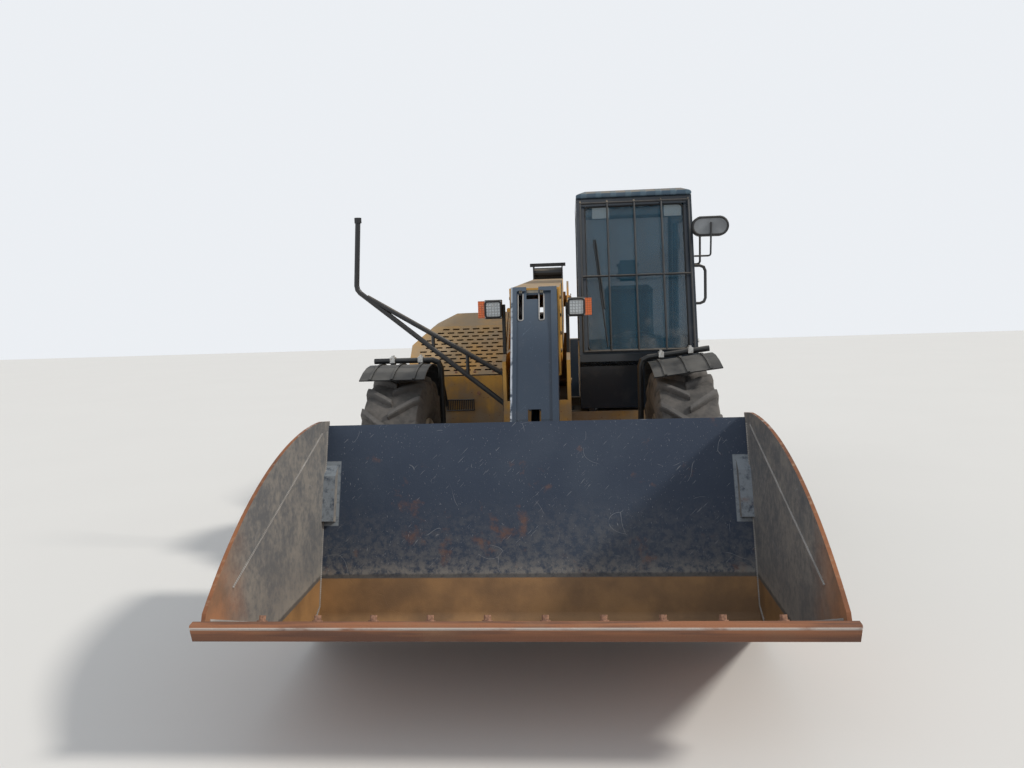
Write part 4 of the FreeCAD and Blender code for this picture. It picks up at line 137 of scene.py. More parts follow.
def stretched(place, scale, turn=(0, 0, 0)):
    """The place turned, and then scaled along its own axes."""
    return place.add("ShaderNodeMapping", settings={"vector_type": "TEXTURE"},
                     inputs={"Vector": place, "Rotation": turn, "Scale": tuple(1 / value for value in scale)})


def noise(place, size, detail=4.0, rough=0.55):
    """Cloudy values from 0 to 1, with patches of about this size in metres."""
    return place.add("ShaderNodeTexNoise", inputs={"Vector": place, "Scale": 1 / size, "Detail": detail,
                                                   "Roughness": rough})


def band(value, start, end):
    """0 below start and 1 above end, with a smooth step between; the two may be given in either order."""
    return value.add("ShaderNodeMapRange", settings={"interpolation_type": "SMOOTHSTEP"},
                     inputs={"Value": value, "From Min": start, "From Max": end})


def patches(place, size, detail, start, end):
    """Noise turned into patches with a soft edge."""
    return band(noise(place, size, detail), start, end)


def mix(mask, under, over):
    """Colour under where the mask is 0, and over where it is 1."""
    wire = mask.add("ShaderNodeMix", output=2, settings={"data_type": "RGBA"}, inputs={0: mask})
    node = wire.socket.node
    for socket, value in ((node.inputs[6], under), (node.inputs[7], over)):
        if isinstance(value, Wire):
            wire.socket.id_data.links.new(value.socket, socket)
        else:
            socket.default_value = (*value, 1)
    return wire


def layered(base, *layers):
    """A base colour with layers of (mask, colour) over it, the lowest first."""
    for mask, colour in layers:
        base = mix(mask, base, colour)
    return base


def lying_dust(place, amount):
    """Dust on what faces up, thicker in cloudy patches."""
    up = band(part(facing(place), "Z"), 0.1, 0.9)
    return band(up * 0.75 + noise(place, 0.25) * 0.6, 0.95 - amount * 0.5, 1.2 - amount * 0.2)


def scratches(place, amount=0.5, length=0.3, per_metre=170):
    """Thin straight lines in three slanting directions."""
    lines = None
    for turn in ((0.2, 0.9, 0.5), (-0.3, -0.7, 0.4), (0.1, 1.5, -0.6)):
        pulled = stretched(place, (1 / length, per_metre, per_metre), turn)
        cloud = pulled.add("ShaderNodeTexNoise", inputs={"Vector": pulled, "Scale": 1.0, "Detail": 1.0})
        row = band(cloud, 0.76 - 0.08 * amount, 0.79)
        lines = row if lines is None else lines.highest(row)
    return lines


def curls(place, size=0.3, width=0.0018):
    """Thin bent lines, broken into short lengths, such as stones leave on paint."""
    bend = place.add("ShaderNodeTexNoise", output="Color",
                     inputs={"Vector": place, "Scale": 1.6 / size, "Detail": 0.0})
    bent = place.add("ShaderNodeVectorMath", settings={"operation": "MULTIPLY_ADD"},
                     inputs={0: bend, 1: (size, size, size), 2: place})
    cells = bent.add("ShaderNodeTexVoronoi", output="Distance", settings={"feature": "DISTANCE_TO_EDGE"},
                     inputs={"Vector": bent, "Scale": 1 / size})
    return band(cells, width / size, 0.3 * width / size) * patches(place, 0.22, 2.0, 0.57, 0.60)


finishes = {}


def finish(name, colour, roughness, metallic=0.0, height=None, depth=0.002, coat=0.0, alpha=1.0, glow=None):
    """A material from wires or plain values; height feeds a Bump node, and depth is its size in metres."""
    tree = finishes[name].node_tree
    shader = tree.nodes.new("ShaderNodeBsdfPrincipled")
    shader.inputs["Coat Weight"].default_value = coat
    shader.inputs["Coat Roughness"].default_value = 0.25
    values = {"Base Color": colour, "Roughness": roughness, "Metallic": metallic, "Alpha": alpha}
    if height is not None:
        values["Normal"] = height.add("ShaderNodeBump", inputs={"Height": height, "Distance": depth,
                                                                "Strength": 1.0})
    if glow is not None:
        values["Emission Color"] = glow
        shader.inputs["Emission Strength"].default_value = 1.0
    for socket, value in values.items():
        if isinstance(value, Wire):
            tree.links.new(value.socket, shader.inputs[socket])
        else:
            shader.inputs[socket].default_value = (*value, 1) if socket == "Base Color" else value
    ending = tree.nodes.new("ShaderNodeOutputMaterial")
    tree.links.new(shader.outputs[0], ending.inputs[0])
    print("finish", name, len(tree.nodes), "nodes")


def begin(name):
    """An empty material, and the coordinates to start its sums from."""
    material = bpy.data.materials.new(name)
    material.use_nodes = True
    material.node_tree.nodes.clear()
    finishes[name] = material
    return place_of(material.node_tree)

# %% [markdown]
# Machine yellow fades to ochre, and road dust dries on it in clouds and in streaks that run down. Stones chip
# it to primer and rust, mostly low on the machine. Height above the ground drives the dirt, so one function
# makes the finish for boom, cover and frame, each with its own share of dirt.

# %% Yellow paint
YELLOW = (0.62, 0.315, 0.045)
FADED = (0.52, 0.30, 0.08)
DUST = (0.27, 0.225, 0.17)
PRIMER = (0.10, 0.075, 0.06)
RUST = (0.17, 0.062, 0.025)


def yellow_paint(name, dirt):
    place = begin(name)
    height = part(place, "Z")
    streaks = noise(stretched(place, (9, 9, 0.7)), 1.0, 3.0)
    base = mix(patches(place, 0.5, 3.0, 0.35, 0.7), YELLOW, FADED)
    low = band(height, 1.7, 0.7)
    grime = band(noise(place, 0.18, 6.0) * 0.7 + streaks * 0.5 + low * (0.25 + 0.5 * dirt), 1.0 - 0.25 * dirt, 1.25)
    film = band(noise(place, 0.09, 5.0) * 0.6 + low * 0.35 + streaks * 0.3, 0.72 - 0.18 * dirt, 1.05)
    dust = lying_dust(place, 0.3 + 0.5 * dirt)
    chips = band(noise(place, 0.016, 2.0) + low * 0.06, 0.73, 0.76)
    colour = layered(base, (grime * (0.35 + 0.5 * dirt), PRIMER), (film * 0.7, DUST), (dust * 0.85, DUST),
                     (chips, RUST))
    roughness = 0.42 + film * 0.25 + dust * 0.3
    finish(name, colour, roughness, height=noise(place, 0.003, 2.0) * 0.15 - chips * 0.5 + dust * 0.2, depth=0.0006)


yellow_paint("boom_yellow", 0.15)
yellow_paint("cover_yellow", 0.42)
yellow_paint("frame_yellow", 0.8)

# %% [markdown]
# The nose, the cylinders and the counterweight are blue-grey. A pale strip runs along the front edge of one of the
# nose's
# flanges: partly paint rubbed bare where loads drag along it, partly a painted highlight of that sunlit edge. Above
# its bend the nose is painted lighter, a painted highlight, and the roof's raised ribs are painted lighter on top, a
# painted highlight too. Fine scratches cross the broad faces, and the worn patches are paler and rougher than the
# paint.

# %% Blue-grey and black paint
SLATE = (0.018, 0.034, 0.060)
WORN = (0.18, 0.235, 0.30)
CAB_BLACK = (0.014, 0.021, 0.031)
PLAIN_BLACK = (0.018, 0.019, 0.021)


def dark_paint(name, base, worn, wear, gloss, dust_share=0.4, edge=None, ribs=None, coat=0.1):
    """edge is the place along X of a flange whose front edge gets a pale strip, partly worn bare and partly a
    painted highlight; ribs is a spacing along X of raised ribs, whose tops get a painted highlight.
    """
    place = begin(name)
    clouds = noise(place, 0.22, 5.0)
    rub = band(noise(place, 0.05, 6.0) * 0.5 + clouds * 0.6, 0.86 - 0.2 * wear, 1.0)
    lines = scratches(place, wear) * band(clouds, 0.35, 0.6)
    colour = layered(base, (rub * (0.2 + 0.4 * wear), worn), (lines * (0.25 + 0.4 * wear), worn))
    if edge is not None:
        across = part(place, "X")
        ahead = band(part(facing(place), "Y"), -0.3, -0.6)
        # a pale strip on the flange's front edge: partly paint worn bare by loads, partly a painted highlight of the
        # sunlit edge
        flange = band(across, edge + 0.014, edge + 0.006) * patches(place, 0.05, 5.0, 0.35, 0.5) * ahead
        # the nose above its bend painted lighter: a painted highlight, for the light that the upper face catches
        high = band(part(place, "Z"), 1.35, 1.8)
        colour = layered(colour, (flange * 0.85, (0.54, 0.59, 0.65)), (high * 0.4, (0.12, 0.16, 0.21)))
    dust = lying_dust(place, dust_share)
    film = patches(place, 0.12, 5.0, 0.5, 0.85) * dust_share * 0.22
    colour = mix(dust * 0.7 + film, colour, DUST)
    roughness = gloss + rub * 0.2 + dust * 0.35 + film * 0.5
    grain = noise(place, 0.003, 2.0) * 0.2 - lines * 0.4
    if ribs is not None:
        # the ribs' raised tops painted lighter: a painted highlight on each rib
        raised = band(part(place, "X").wave(ribs), 0.2, 0.5)
        colour = mix(raised * 0.45, colour, (0.10, 0.16, 0.20))
        grain = grain + raised * 4.0
    finish(name, colour, roughness, height=grain, depth=0.0005, coat=coat)


nose_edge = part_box("boom_inner_nose")[0].x + 0.028
dark_paint("nose_slate", SLATE, WORN, 0.65, 0.36, edge=nose_edge)
dark_paint("carriage_slate", SLATE, WORN, 0.5, 0.42, 0.6)
dark_paint("cylinder_slate", SLATE, WORN, 0.3, 0.35, 0.5)
dark_paint("weight_slate", SLATE, WORN, 0.35, 0.45, 0.6)
dark_paint("cab_black", CAB_BLACK, (0.06, 0.09, 0.11), 0.12, 0.2, 0.3, coat=0.5)
dark_paint("roof_teal", (0.036, 0.072, 0.110), (0.12, 0.18, 0.22), 0.15, 0.4, 0.5, ribs=0.115)
dark_paint("tube_black", PLAIN_BLACK, (0.12, 0.11, 0.10), 0.25, 0.38, 0.35)
dark_paint("tank_black", PLAIN_BLACK, (0.10, 0.095, 0.09), 0.3, 0.5, 0.7)

# %% [markdown]
# The bucket tells its own story. Loads have scoured its outside and its rims to orange rust, while the inside
# keeps blue-black paint, scratched pale, that gives way to rust near the floor and towards the lip. Inside and
# outside are one solid, so the mask asks whether the surface looks towards a point in the bucket's hollow.

# %% Bucket, inside and out
bucket_low, bucket_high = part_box("bucket_shell")
bucket_size = bucket_high - bucket_low
hollow = (
    (bucket_low.x + bucket_high.x) / 2,
    bucket_low.y + bucket_size.y * 0.58,
    bucket_low.z + bucket_size.z * 0.55,
)
HEEL = (-1.898, 0.048)  # along Y and up, where the floor meets the back
FLOOR_SLOPE = math.radians(24.1)
WATER_MARK = 0.285  # the height that rain has stood to
RUST_BRIGHT = (0.27, 0.105, 0.043)
RUST_DEEP = (0.14, 0.055, 0.028)
RUST_PALE = (0.33, 0.21, 0.13)
INSIDE_PAINT = (0.018, 0.032, 0.062)


def over_floor(place):
    """Distance from the plane of the bucket's floor, upwards."""
    return ((part(place, "Y") - HEEL[0]) * math.sin(FLOOR_SLOPE)
            + (part(place, "Z") - HEEL[1]) * math.cos(FLOOR_SLOPE))


def rust(place):
    """Rust in two scales: broad clouds and pale blisters."""
    return layered(RUST_BRIGHT, (patches(place, 0.35, 5.0, 0.35, 0.65), RUST_DEEP),
                   (patches(place, 0.03, 5.0, 0.5, 0.72) * 0.6, RUST_PALE))


def wall_paint(place, cheek, ragged, fine, marks):
    """Blue-black paint on the back and bare grey on the cheeks, both worn, smeared with rust and scratched."""
    height = part(place, "Z")
    faded = patches(place, 0.5, 4.0, 0.4, 0.75)
    bare = mix(band(fine * 0.5 + ragged * 0.5, 0.4, 0.62), (0.140, 0.142, 0.145), (0.285, 0.262, 0.232))
    outer = band(abs(part(place, "X") - hollow[0]), 1.050, 1.056)
    corner_block = outer * band(height, 0.54, 0.545) * band(height, 0.875, 0.87) * (1 - cheek)
    worn_low = band(height + ragged * 0.25, 0.85, 0.38)
    smears = band(ragged + worn_low * 0.05, 0.60, 0.72) * (1 - cheek)
    return layered(INSIDE_PAINT, (faded, (0.032, 0.048, 0.078)), (cheek * 0.9, bare),
                   (corner_block * band(fine, 0.75, 0.45), (0.22, 0.25, 0.28)),
                   (worn_low * band(fine, 0.38, 0.62) * 0.55, (0.15, 0.145, 0.14)),
                   (smears * 0.6, (0.16, 0.068, 0.034)), (marks * 0.42, (0.33, 0.34, 0.36)))


def left_by_water(place, paint, cheek, ragged, fine):
    """A pale tide mark, a damp line under it, and silt below that and on the floor."""
    height = part(place, "Z")
    tide = band(height + fine * 0.02, WATER_MARK + 0.11, WATER_MARK + 0.01)
    damp = band(height + fine * 0.012, WATER_MARK + 0.030, WATER_MARK + 0.018)
    covered = band(height + fine * 0.008, WATER_MARK + 0.006, WATER_MARK - 0.002)
    floor_side = band(over_floor(place) + ragged * 0.03, 0.03, 0.015) * (1 - cheek)
    silt = mix(patches(place, 0.3, 5.0, 0.35, 0.7), (0.30, 0.165, 0.066), (0.16, 0.090, 0.041))
    return layered(paint, (tide * band(fine, 0.3, 0.6) * 0.6, (0.27, 0.25, 0.22)),
                   (damp * 0.7, (0.042, 0.040, 0.040)), (covered, silt), (floor_side, silt))


def bucket_finish():
    """Rust outside; inside, the wall's paint, a scoured rim at the front of each cheek, and what water left."""
    place = begin("bucket_rusted")
    inward = place.add("ShaderNodeVectorMath", settings={"operation": "SUBTRACT"}, inputs={0: hollow, 1: place})
    look = place.add("ShaderNodeVectorMath", output="Value", settings={"operation": "DOT_PRODUCT"},
                     inputs={0: inward, 1: facing(place)})
    inside = band(look, 0.02, 0.06)
    cheek = band(abs(part(facing(place), "X")), 0.4, 0.8)
    ragged = noise(place, 0.2, 7.0, 0.65)
    fine = noise(place, 0.035, 6.0, 0.7)
    marks = scratches(place).highest(curls(place))
    front = (part(place, "Y") - bucket_low.y) * (1 / bucket_size.y)
    rim = band(front + ragged * 0.16, 0.36, 0.12) * cheek
    scoured = mix(patches(place, 0.15, 6.0, 0.35, 0.7), (0.36, 0.17, 0.085), (0.20, 0.115, 0.07))
    inner = mix(rim, wall_paint(place, cheek, ragged, fine, marks), scoured)
    inner = left_by_water(place, inner, cheek, ragged, fine)
    top_edge = band(part(place, "Z"), bucket_high.z - 0.030, bucket_high.z - 0.026)
    colour = layered(rust(place), (inside, inner),
                     (top_edge * band(fine, 0.5, 0.6) * 0.5 * (1 - cheek), (0.42, 0.40, 0.38)))
    blisters = noise(place, 0.006, 3.0) * 0.5 + noise(place, 0.04, 4.0) * 0.5
    roughness = 0.82 - inside * (1 - rim) * 0.27
    finish("bucket_rusted", colour, roughness, height=blisters - marks * 0.3 * inside, depth=0.0015)


bucket_finish()

# %% [markdown]
# Four finishes for steel that takes knocks: the ground lip, cast axles and knuckles, polished rods, and the
# pale enamel of the wheels. The lip is measured from the floor's plane, so that its two plates differ.

# %% Lip, castings, rods and rims
def lip_finish():
    """Ground steel, brown with rust, with a pale line painted along the step between the two plates as a highlight.
    """
    place = begin("lip_steel")
    lines = noise(stretched(place, (2, 40, 40)), 1.0, 3.0)
    cloud = noise(place, 0.16, 5.0)
    bright = band(noise(place, 0.12, 4.0) * 0.6 + lines * 0.5, 0.62, 0.8)
    below = over_floor(place) * -1.0
    # step: a thin pale band along the edge of the step between the plates, a painted highlight
    step = band(below, 0.0215, 0.0245) * band(below, 0.0325, 0.0295)
    lower = band(below, 0.031, 0.056)
    colour = layered((0.29, 0.118, 0.055), (band(lines, 0.42, 0.62), (0.145, 0.066, 0.040)),
                     (band(cloud, 0.5, 0.75) * 0.6, (0.27, 0.145, 0.078)), (bright * 0.35, (0.30, 0.21, 0.155)),
                     (step * band(cloud, 0.3, 0.5) * 0.85, (0.56, 0.52, 0.48)),
                     (lower * 0.65, (0.095, 0.040, 0.023)))
    finish("lip_steel", colour, 0.75 - bright * 0.3, bright * 0.35, noise(place, 0.008, 4.0), 0.0018)


def casting_finish():
    place = begin("casting")
    cloud = noise(place, 0.12, 6.0)
    dust = lying_dust(place, 0.7)
    colour = layered((0.035, 0.032, 0.03), (band(cloud, 0.35, 0.7), (0.15, 0.12, 0.09)), (dust * 0.8, DUST))
    finish("casting", colour, 0.7 + dust * 0.2, 0.0, noise(place, 0.005, 3.0) + cloud * 0.4, 0.0015)


def rod_finish():
    place = begin("rod_chrome")
    film = band(noise(stretched(place, (1, 6, 6)), 0.3, 4.0), 0.5, 0.75)
    finish("rod_chrome", mix(film * 0.6, (0.72, 0.72, 0.73), (0.30, 0.25, 0.18)), 0.12 + film * 0.35, 1.0)


def rim_finish():
    place = begin("rim_enamel")
    dirt = patches(place, 0.12, 6.0, 0.35, 0.65)
    chips = patches(place, 0.02, 3.0, 0.68, 0.72)
    colour = layered((0.50, 0.47, 0.41), (dirt * 0.85, (0.16, 0.125, 0.09)), (chips, RUST))
    finish("rim_enamel", colour, 0.5 + dirt * 0.3, height=noise(place, 0.004, 3.0) - chips, depth=0.0006)


lip_finish()
casting_finish()
rod_finish()
rim_finish()

# %% [markdown]
# Rubber and plastic are black only when new. Tyres go grey-brown with dried mud, most of all between the bars,
# so distance from the axle is the mask. Mudguards keep dull black sides and carry dust on top.

# %% Tyres, mudguards and other rubber
WHEELS = {
    # wheel: side along X, and distance behind the front axle
    "front_right": (1, 0.0),
    "front_left": (-1, 0.0),
    "rear_right": (1, 2.75),
    "rear_left": (-1, 2.75),
}


def tyre_finish(corner):
    low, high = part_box("tyre_" + corner)
    centre = (low + high) / 2
    outer = (high.z - low.z) / 2
    place = begin("tyre_" + corner)
    along = part(place, "Y") - centre.y
    up = part(place, "Z") - centre.z
    reach = (along * along + up * up) ** 0.5
    tread = band(reach, outer * 0.90, outer * 0.99)
    clods = noise(place, 0.06, 7.0, 0.6)
    mud = band(clods * 0.6 + noise(place, 0.3, 4.0) * 0.4 + (1 - tread) * 0.08, 0.40, 0.66)
    colour = layered((0.040, 0.038, 0.037), (mud * 0.7, (0.138, 0.124, 0.112)),
                     (tread * 0.5, (0.135, 0.128, 0.122)))
    rings = reach.wave(0.018)
    side = (1 - tread) * band(reach, outer * 0.62, outer * 0.66) * band(reach, outer * 0.86, outer * 0.84)
    finish("tyre_" + corner, colour, 0.86 - tread * 0.12, height=clods * 0.8 + rings * side * 0.12, depth=0.004)


def plastic_finish(name, base, roughness, dust_share, dust_depth=0.75):
    place = begin(name)
    cloud = noise(place, 0.2, 5.0)
    dust = lying_dust(place, dust_share)
    colour = layered(base, (band(cloud, 0.4, 0.75) * 0.5, tuple(value * 2.2 + 0.01 for value in base)),
                     (dust * dust_depth, (0.24, 0.23, 0.21)))
    finish(name, colour, roughness + dust * 0.25, height=noise(place, 0.0016, 2.0), depth=0.0004)


for corner in WHEELS:
    tyre_finish(corner)
plastic_finish("mudguard_plastic", (0.009, 0.010, 0.011), 0.42, 0.1, 0.45)
plastic_finish("lamp_plastic", (0.012, 0.012, 0.013), 0.42, 0.3)
plastic_finish("seal_rubber", (0.010, 0.010, 0.010), 0.6, 0.1)
plastic_finish("pad_plastic", (0.52, 0.49, 0.40), 0.35, 0.2)

# %% [markdown]
# Glass is mostly what it reflects. A little alpha keeps the seat visible behind it, and a film of dust,
# thicker towards the pane's lower edge, is the only thing that changes over the surface. Lenses are ribbed in
# two directions. The work lamps are one solid each, so only what faces ahead is lens, and it glows a little, so
# that it shows through the pane.

# %% Glass and lenses
def pane_finish(name, tint, clear, dust_height):
    place = begin(name)
    height = part(place, "Z")
    film = band(noise(place, 0.15, 6.0) + band(height, dust_height + 0.35, dust_height - 0.1) * 0.25, 0.6, 1.05)
    colour = mix(film, tint, (0.20, 0.20, 0.19))
    finish(name, colour, 0.03 + film * 0.3, alpha=clear + film * 0.2, coat=0.3)


def lens_finish(name, colour, ribs):
    place = begin(name)
    cells = part(place, "X").wave(ribs).highest(part(place, "Z").wave(ribs))
    dirt = patches(place, 0.03, 4.0, 0.5, 0.8)
    shade = band(cells, 0.75, 1.0)
    colour = layered(colour, (shade * 0.7, tuple(value * 0.25 for value in colour)), (dirt * 0.35, DUST))
    finish(name, colour, 0.12 + dirt * 0.3, height=cells, depth=0.001, coat=0.6)


def work_lamp_finish():
    place = begin("work_lamp")
    lens = band(part(facing(place), "Y"), -0.7, -0.9)
    rounds = part(place, "X").wave(0.012)
    colour = layered((0.012, 0.012, 0.013), (lens, (0.85, 0.87, 0.84)),
                     (lens * band(rounds, 0.6, 1.0) * 0.4, (0.3, 0.3, 0.3)))
    finish("work_lamp", colour, 0.25, height=rounds * lens, depth=0.001,
           glow=mix(lens, (0.0, 0.0, 0.0), (0.42, 0.45, 0.44)))


pane_finish("pane_dusty", (0.016, 0.066, 0.108), 0.56, 1.35)
work_lamp_finish()
lens_finish("lens_clear", (0.50, 0.53, 0.54), 0.018)
lens_finish("lens_orange", (0.72, 0.14, 0.02), 0.014)
lens_finish("lens_red", (0.45, 0.02, 0.015), 0.014)

# %% [markdown]
# The last few finishes are for small things: woven cloth, bright and rusty steel for fasteners, and plain plastics.

# %% Cloth and small parts
def cloth_finish():
    place = begin("seat_cloth")
    threads = part(place, "X").wave(0.004) * part(place, "Z").wave(0.004)
    fade = patches(place, 0.15, 4.0, 0.35, 0.7)
    colour = mix(fade * 0.6, (0.022, 0.024, 0.03), (0.07, 0.07, 0.075))
    finish("seat_cloth", colour, 0.9, height=threads, depth=0.0006)


def bright_finish():
    place = begin("bright_steel")
    stain = patches(place, 0.02, 5.0, 0.45, 0.75)
    finish("bright_steel", mix(stain * 0.6, (0.62, 0.62, 0.60), (0.28, 0.22, 0.17)), 0.32 + stain * 0.4, 0.7)


def stud_finish():
    place = begin("rusty_stud")
    stain = patches(place, 0.01, 5.0, 0.35, 0.7)
    finish("rusty_stud", mix(stain, (0.36, 0.20, 0.13), (0.19, 0.105, 0.070)), 0.75, 0.2)


cloth_finish()
bright_finish()
stud_finish()
plastic_finish("weld_grey", (0.27, 0.26, 0.25), 0.5, 0.2)
plastic_finish("mirror_face", (0.16, 0.17, 0.18), 0.12, 0.2)
plastic_finish("pale_plastic", (0.70, 0.70, 0.68), 0.35, 0.2)

# %% [markdown]
# Each CAD node now takes its finish. One table lists the nodes of each finish, the wheels add theirs, and the
# printed line shows whether the table names a node that the model doesn't have.

# %% Finishes on the nodes
FINISH_TABLE = {
    "frame_yellow": "chassis_frame engine_skirt",
    "cover_yellow": "engine_cover",
    "boom_yellow": "boom_outer_tube",
    "nose_slate": "boom_inner_nose",
    "carriage_slate": "bucket_carriage",
    "cylinder_slate": "lift_barrel tilt_barrel",
    "weight_slate": "counterweight",
    "rod_chrome": "lift_rod tilt_rod",
    "casting": "axle_front axle_rear drive_line engine_block tow_hitch",
    "tank_black": "fuel_tank hydraulic_tank",
    "tube_black": "windscreen_guard mirror_ladder grab_handle hose_guide",
    "cab_black": "cab_shell cab_door cab_door_hinges",
    "roof_teal": "cab_roof",
    "pane_dusty": "cab_glass cab_door_glass",
    "lamp_plastic": "seat_frame steering_column cab_mirror headlamp_housings",
    "pad_plastic": "boom_slide_pads",
    "lens_clear": "headlamp_lenses",
    "lens_orange": "indicator_lenses",
    "lens_red": "rear_lamps",
    "work_lamp": "work_lamps",
    "seat_cloth": "seat_cushion",
    "bucket_rusted": "bucket_shell",
    "lip_steel": "cutting_edge",
}
wears = {node: paint for paint, row in FINISH_TABLE.items() for node in row.split()}
for corner in WHEELS:
    wears["knuckle_" + corner] = "casting"
    wears["mudguard_" + corner] = "mudguard_plastic"
    wears["tyre_" + corner] = "tyre_" + corner
    wears["rim_" + corner] = "rim_enamel"
for name, node in nodes.items():
    node.data.materials.clear()
    node.data.materials.append(finishes[wears[name]])
print("finished nodes", len(nodes), "unused table rows", sorted(set(wears) - set(nodes)))

# %% [markdown]
# Solids from CAD have knife edges. Real plates and castings are broken at the edge, and that thin line catches
# light. Simple nodes therefore get a copy with merged corners and a small Bevel, which then stands for the node.
# Sizes below are measured from the machine's own centreline and front axle, which spot() turns into the frame.

# %% Softened copies
AXLE_SHIFT = Vector((-0.087, -0.484, 0))


def spot(across, along, up):
    """A place measured from the centreline, the front axle and the ground, in the model's frame."""
    return Vector((across, along, up)) + AXLE_SHIFT


def new_object(name, data):
    """An object for a mesh, a curve, a lamp or a camera, in the scene."""
    thing = bpy.data.objects.new(name, data)
    bpy.context.collection.objects.link(thing)
    return thing


def link_mesh(name, mesh, finish_name, body, smooth=True):
    """An object for a finished mesh, with its finish, riding on a body."""
    thing = new_object(name, mesh)
    mesh.materials.clear()
    mesh.materials.append(finishes[finish_name])
    if smooth:
        mesh.shade_smooth()
        mesh.set_sharp_from_angle(angle=math.radians(35))
    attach(thing, body)
    print(name, len(mesh.polygons), "faces")
    return thing


def settle(thing, name):
    """The mesh that an object's modifiers make; the object itself is removed."""
    graph = bpy.context.evaluated_depsgraph_get()
    mesh = bpy.data.meshes.new_from_object(thing.evaluated_get(graph))
    mesh.name = name
    bpy.data.objects.remove(thing)
    return mesh


def mesh_from(shape, name):
    """The mesh that a bmesh holds; the bmesh is freed."""
    mesh = bpy.data.meshes.new(name)
    shape.to_mesh(mesh)
    shape.free()
    return mesh


def softened(node, width):
    """A copy of a node of the machine with broken edges, which stands for it from now on."""
    shape = bmesh.new()
    shape.from_mesh(nodes[node].data)
    bmesh.ops.remove_doubles(shape, verts=shape.verts, dist=0.0002)
    bmesh.ops.dissolve_limit(shape, angle_limit=math.radians(2), verts=shape.verts, edges=shape.edges)
    thing = new_object(node + "_soft", mesh_from(shape, node + "_soft"))
    edge = thing.modifiers.new("edge", "BEVEL")
    edge.width = width
    edge.segments = 3
    edge.limit_method = "ANGLE"
    edge.angle_limit = math.radians(30)
    name = node + "_softened"
    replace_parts(link_mesh(name, settle(thing, name), wears[node], "machine"), node)


SOFT_NODES = {
    # node: width of the broken edge
    "cab_roof": 0.028,
    "counterweight": 0.018,
    "fuel_tank": 0.02,
    "hydraulic_tank": 0.02,
    "headlamp_housings": 0.008,
}
for node, width in SOFT_NODES.items():
    softened(node, width)

# %% [markdown]
# Wheels follow a rule: a section turned round the axle, and bars repeated round it. The casing and the rim are
# turned from a few points of their section. One bar is drawn as a short strip of cross-sections that bends
# over the shoulder, and a Geometry Nodes tree sets it round the axle, with the count and the phase as inputs.

# %% Turned pieces and one tread bar
TYRE_RADIUS = 0.62
HALF_TRACK = 0.945
BARS = 18  # on each side of a tyre


def skin(shape, loops):
    """Walls between closed loops of vertices that follow each other."""
    for loop, following in zip(loops, loops[1:]):
        for index in range(len(loop)):
            onto = (index + 1) % len(loop)
            shape.faces.new((loop[index], loop[onto], following[onto], following[index]))


def turned(name, section, centre, count):
    """A surface of revolution about X from a closed section of (along X, radius) points."""
    shape = bmesh.new()
    rings = []
    for index in range(count):
        angle = 2 * math.pi * index / count
        rings.append([shape.verts.new((centre.x + along, centre.y + radius * math.sin(angle),
                                       centre.z + radius * math.cos(angle))) for along, radius in section])
    skin(shape, rings + rings[:1])
    bmesh.ops.recalc_face_normals(shape, faces=shape.faces)
    return mesh_from(shape, name)


def bar_mesh(name, side):
    """One bar, from the tread's middle over the shoulder, drawn at the top of a wheel at the origin."""
    strip = (
        # along X, turn in degrees, outer radius, inner radius, half width outside, half width at the root
        (-0.006, -7.2, 0.612, 0.570, 0.018, 0.028),
        (0.045, -4.0, 0.6175, 0.570, 0.020, 0.030),
        (0.100, 0.0, 0.6175, 0.570, 0.021, 0.031),
        (0.150, 4.2, 0.613, 0.566, 0.022, 0.033),
        (0.180, 6.6, 0.603, 0.555, 0.023, 0.034),
        (0.192, 7.6, 0.572, 0.52, 0.022, 0.032),
        (0.196, 8.0, 0.540, 0.50, 0.016, 0.026),
    )
    shape = bmesh.new()
    loops = []
    for along, turn, outer, inner, crest, foot in strip:
        middle = math.radians(turn)
        corners = []
        for radius, half in ((inner, -foot), (outer, -crest), (outer, crest), (inner, foot)):
            angle = middle + half / radius
            reach = min(radius, TYRE_RADIUS)
            corners.append(shape.verts.new((along * side, reach * math.sin(angle), reach * math.cos(angle))))
        loops.append(corners)
    skin(shape, loops)
    shape.faces.new(loops[0])
    shape.faces.new(loops[-1])
    bmesh.ops.recalc_face_normals(shape, faces=shape.faces)
    bmesh.ops.bevel(shape, geom=[edge for edge in shape.edges if edge.calc_face_angle(0) > 0.6],
                    offset=0.004, segments=2, affect="EDGES")
    return mesh_from(shape, name)


bars = {side: bpy.data.objects.new(f"bar_{side}", bar_mesh(f"bar_{side}", side)) for side in (1, -1)}
print("bar faces", len(bars[1].data.polygons))

# %% [markdown]
# A Geometry Nodes tree is built like a material: nodes, then links. This little helper keeps each one to a line.
# Inputs get names for the reader, but a modifier stores its values under each input's identifier, so fill() looks
# the identifier up. The result is turned into a plain mesh, because exporters drop instances.

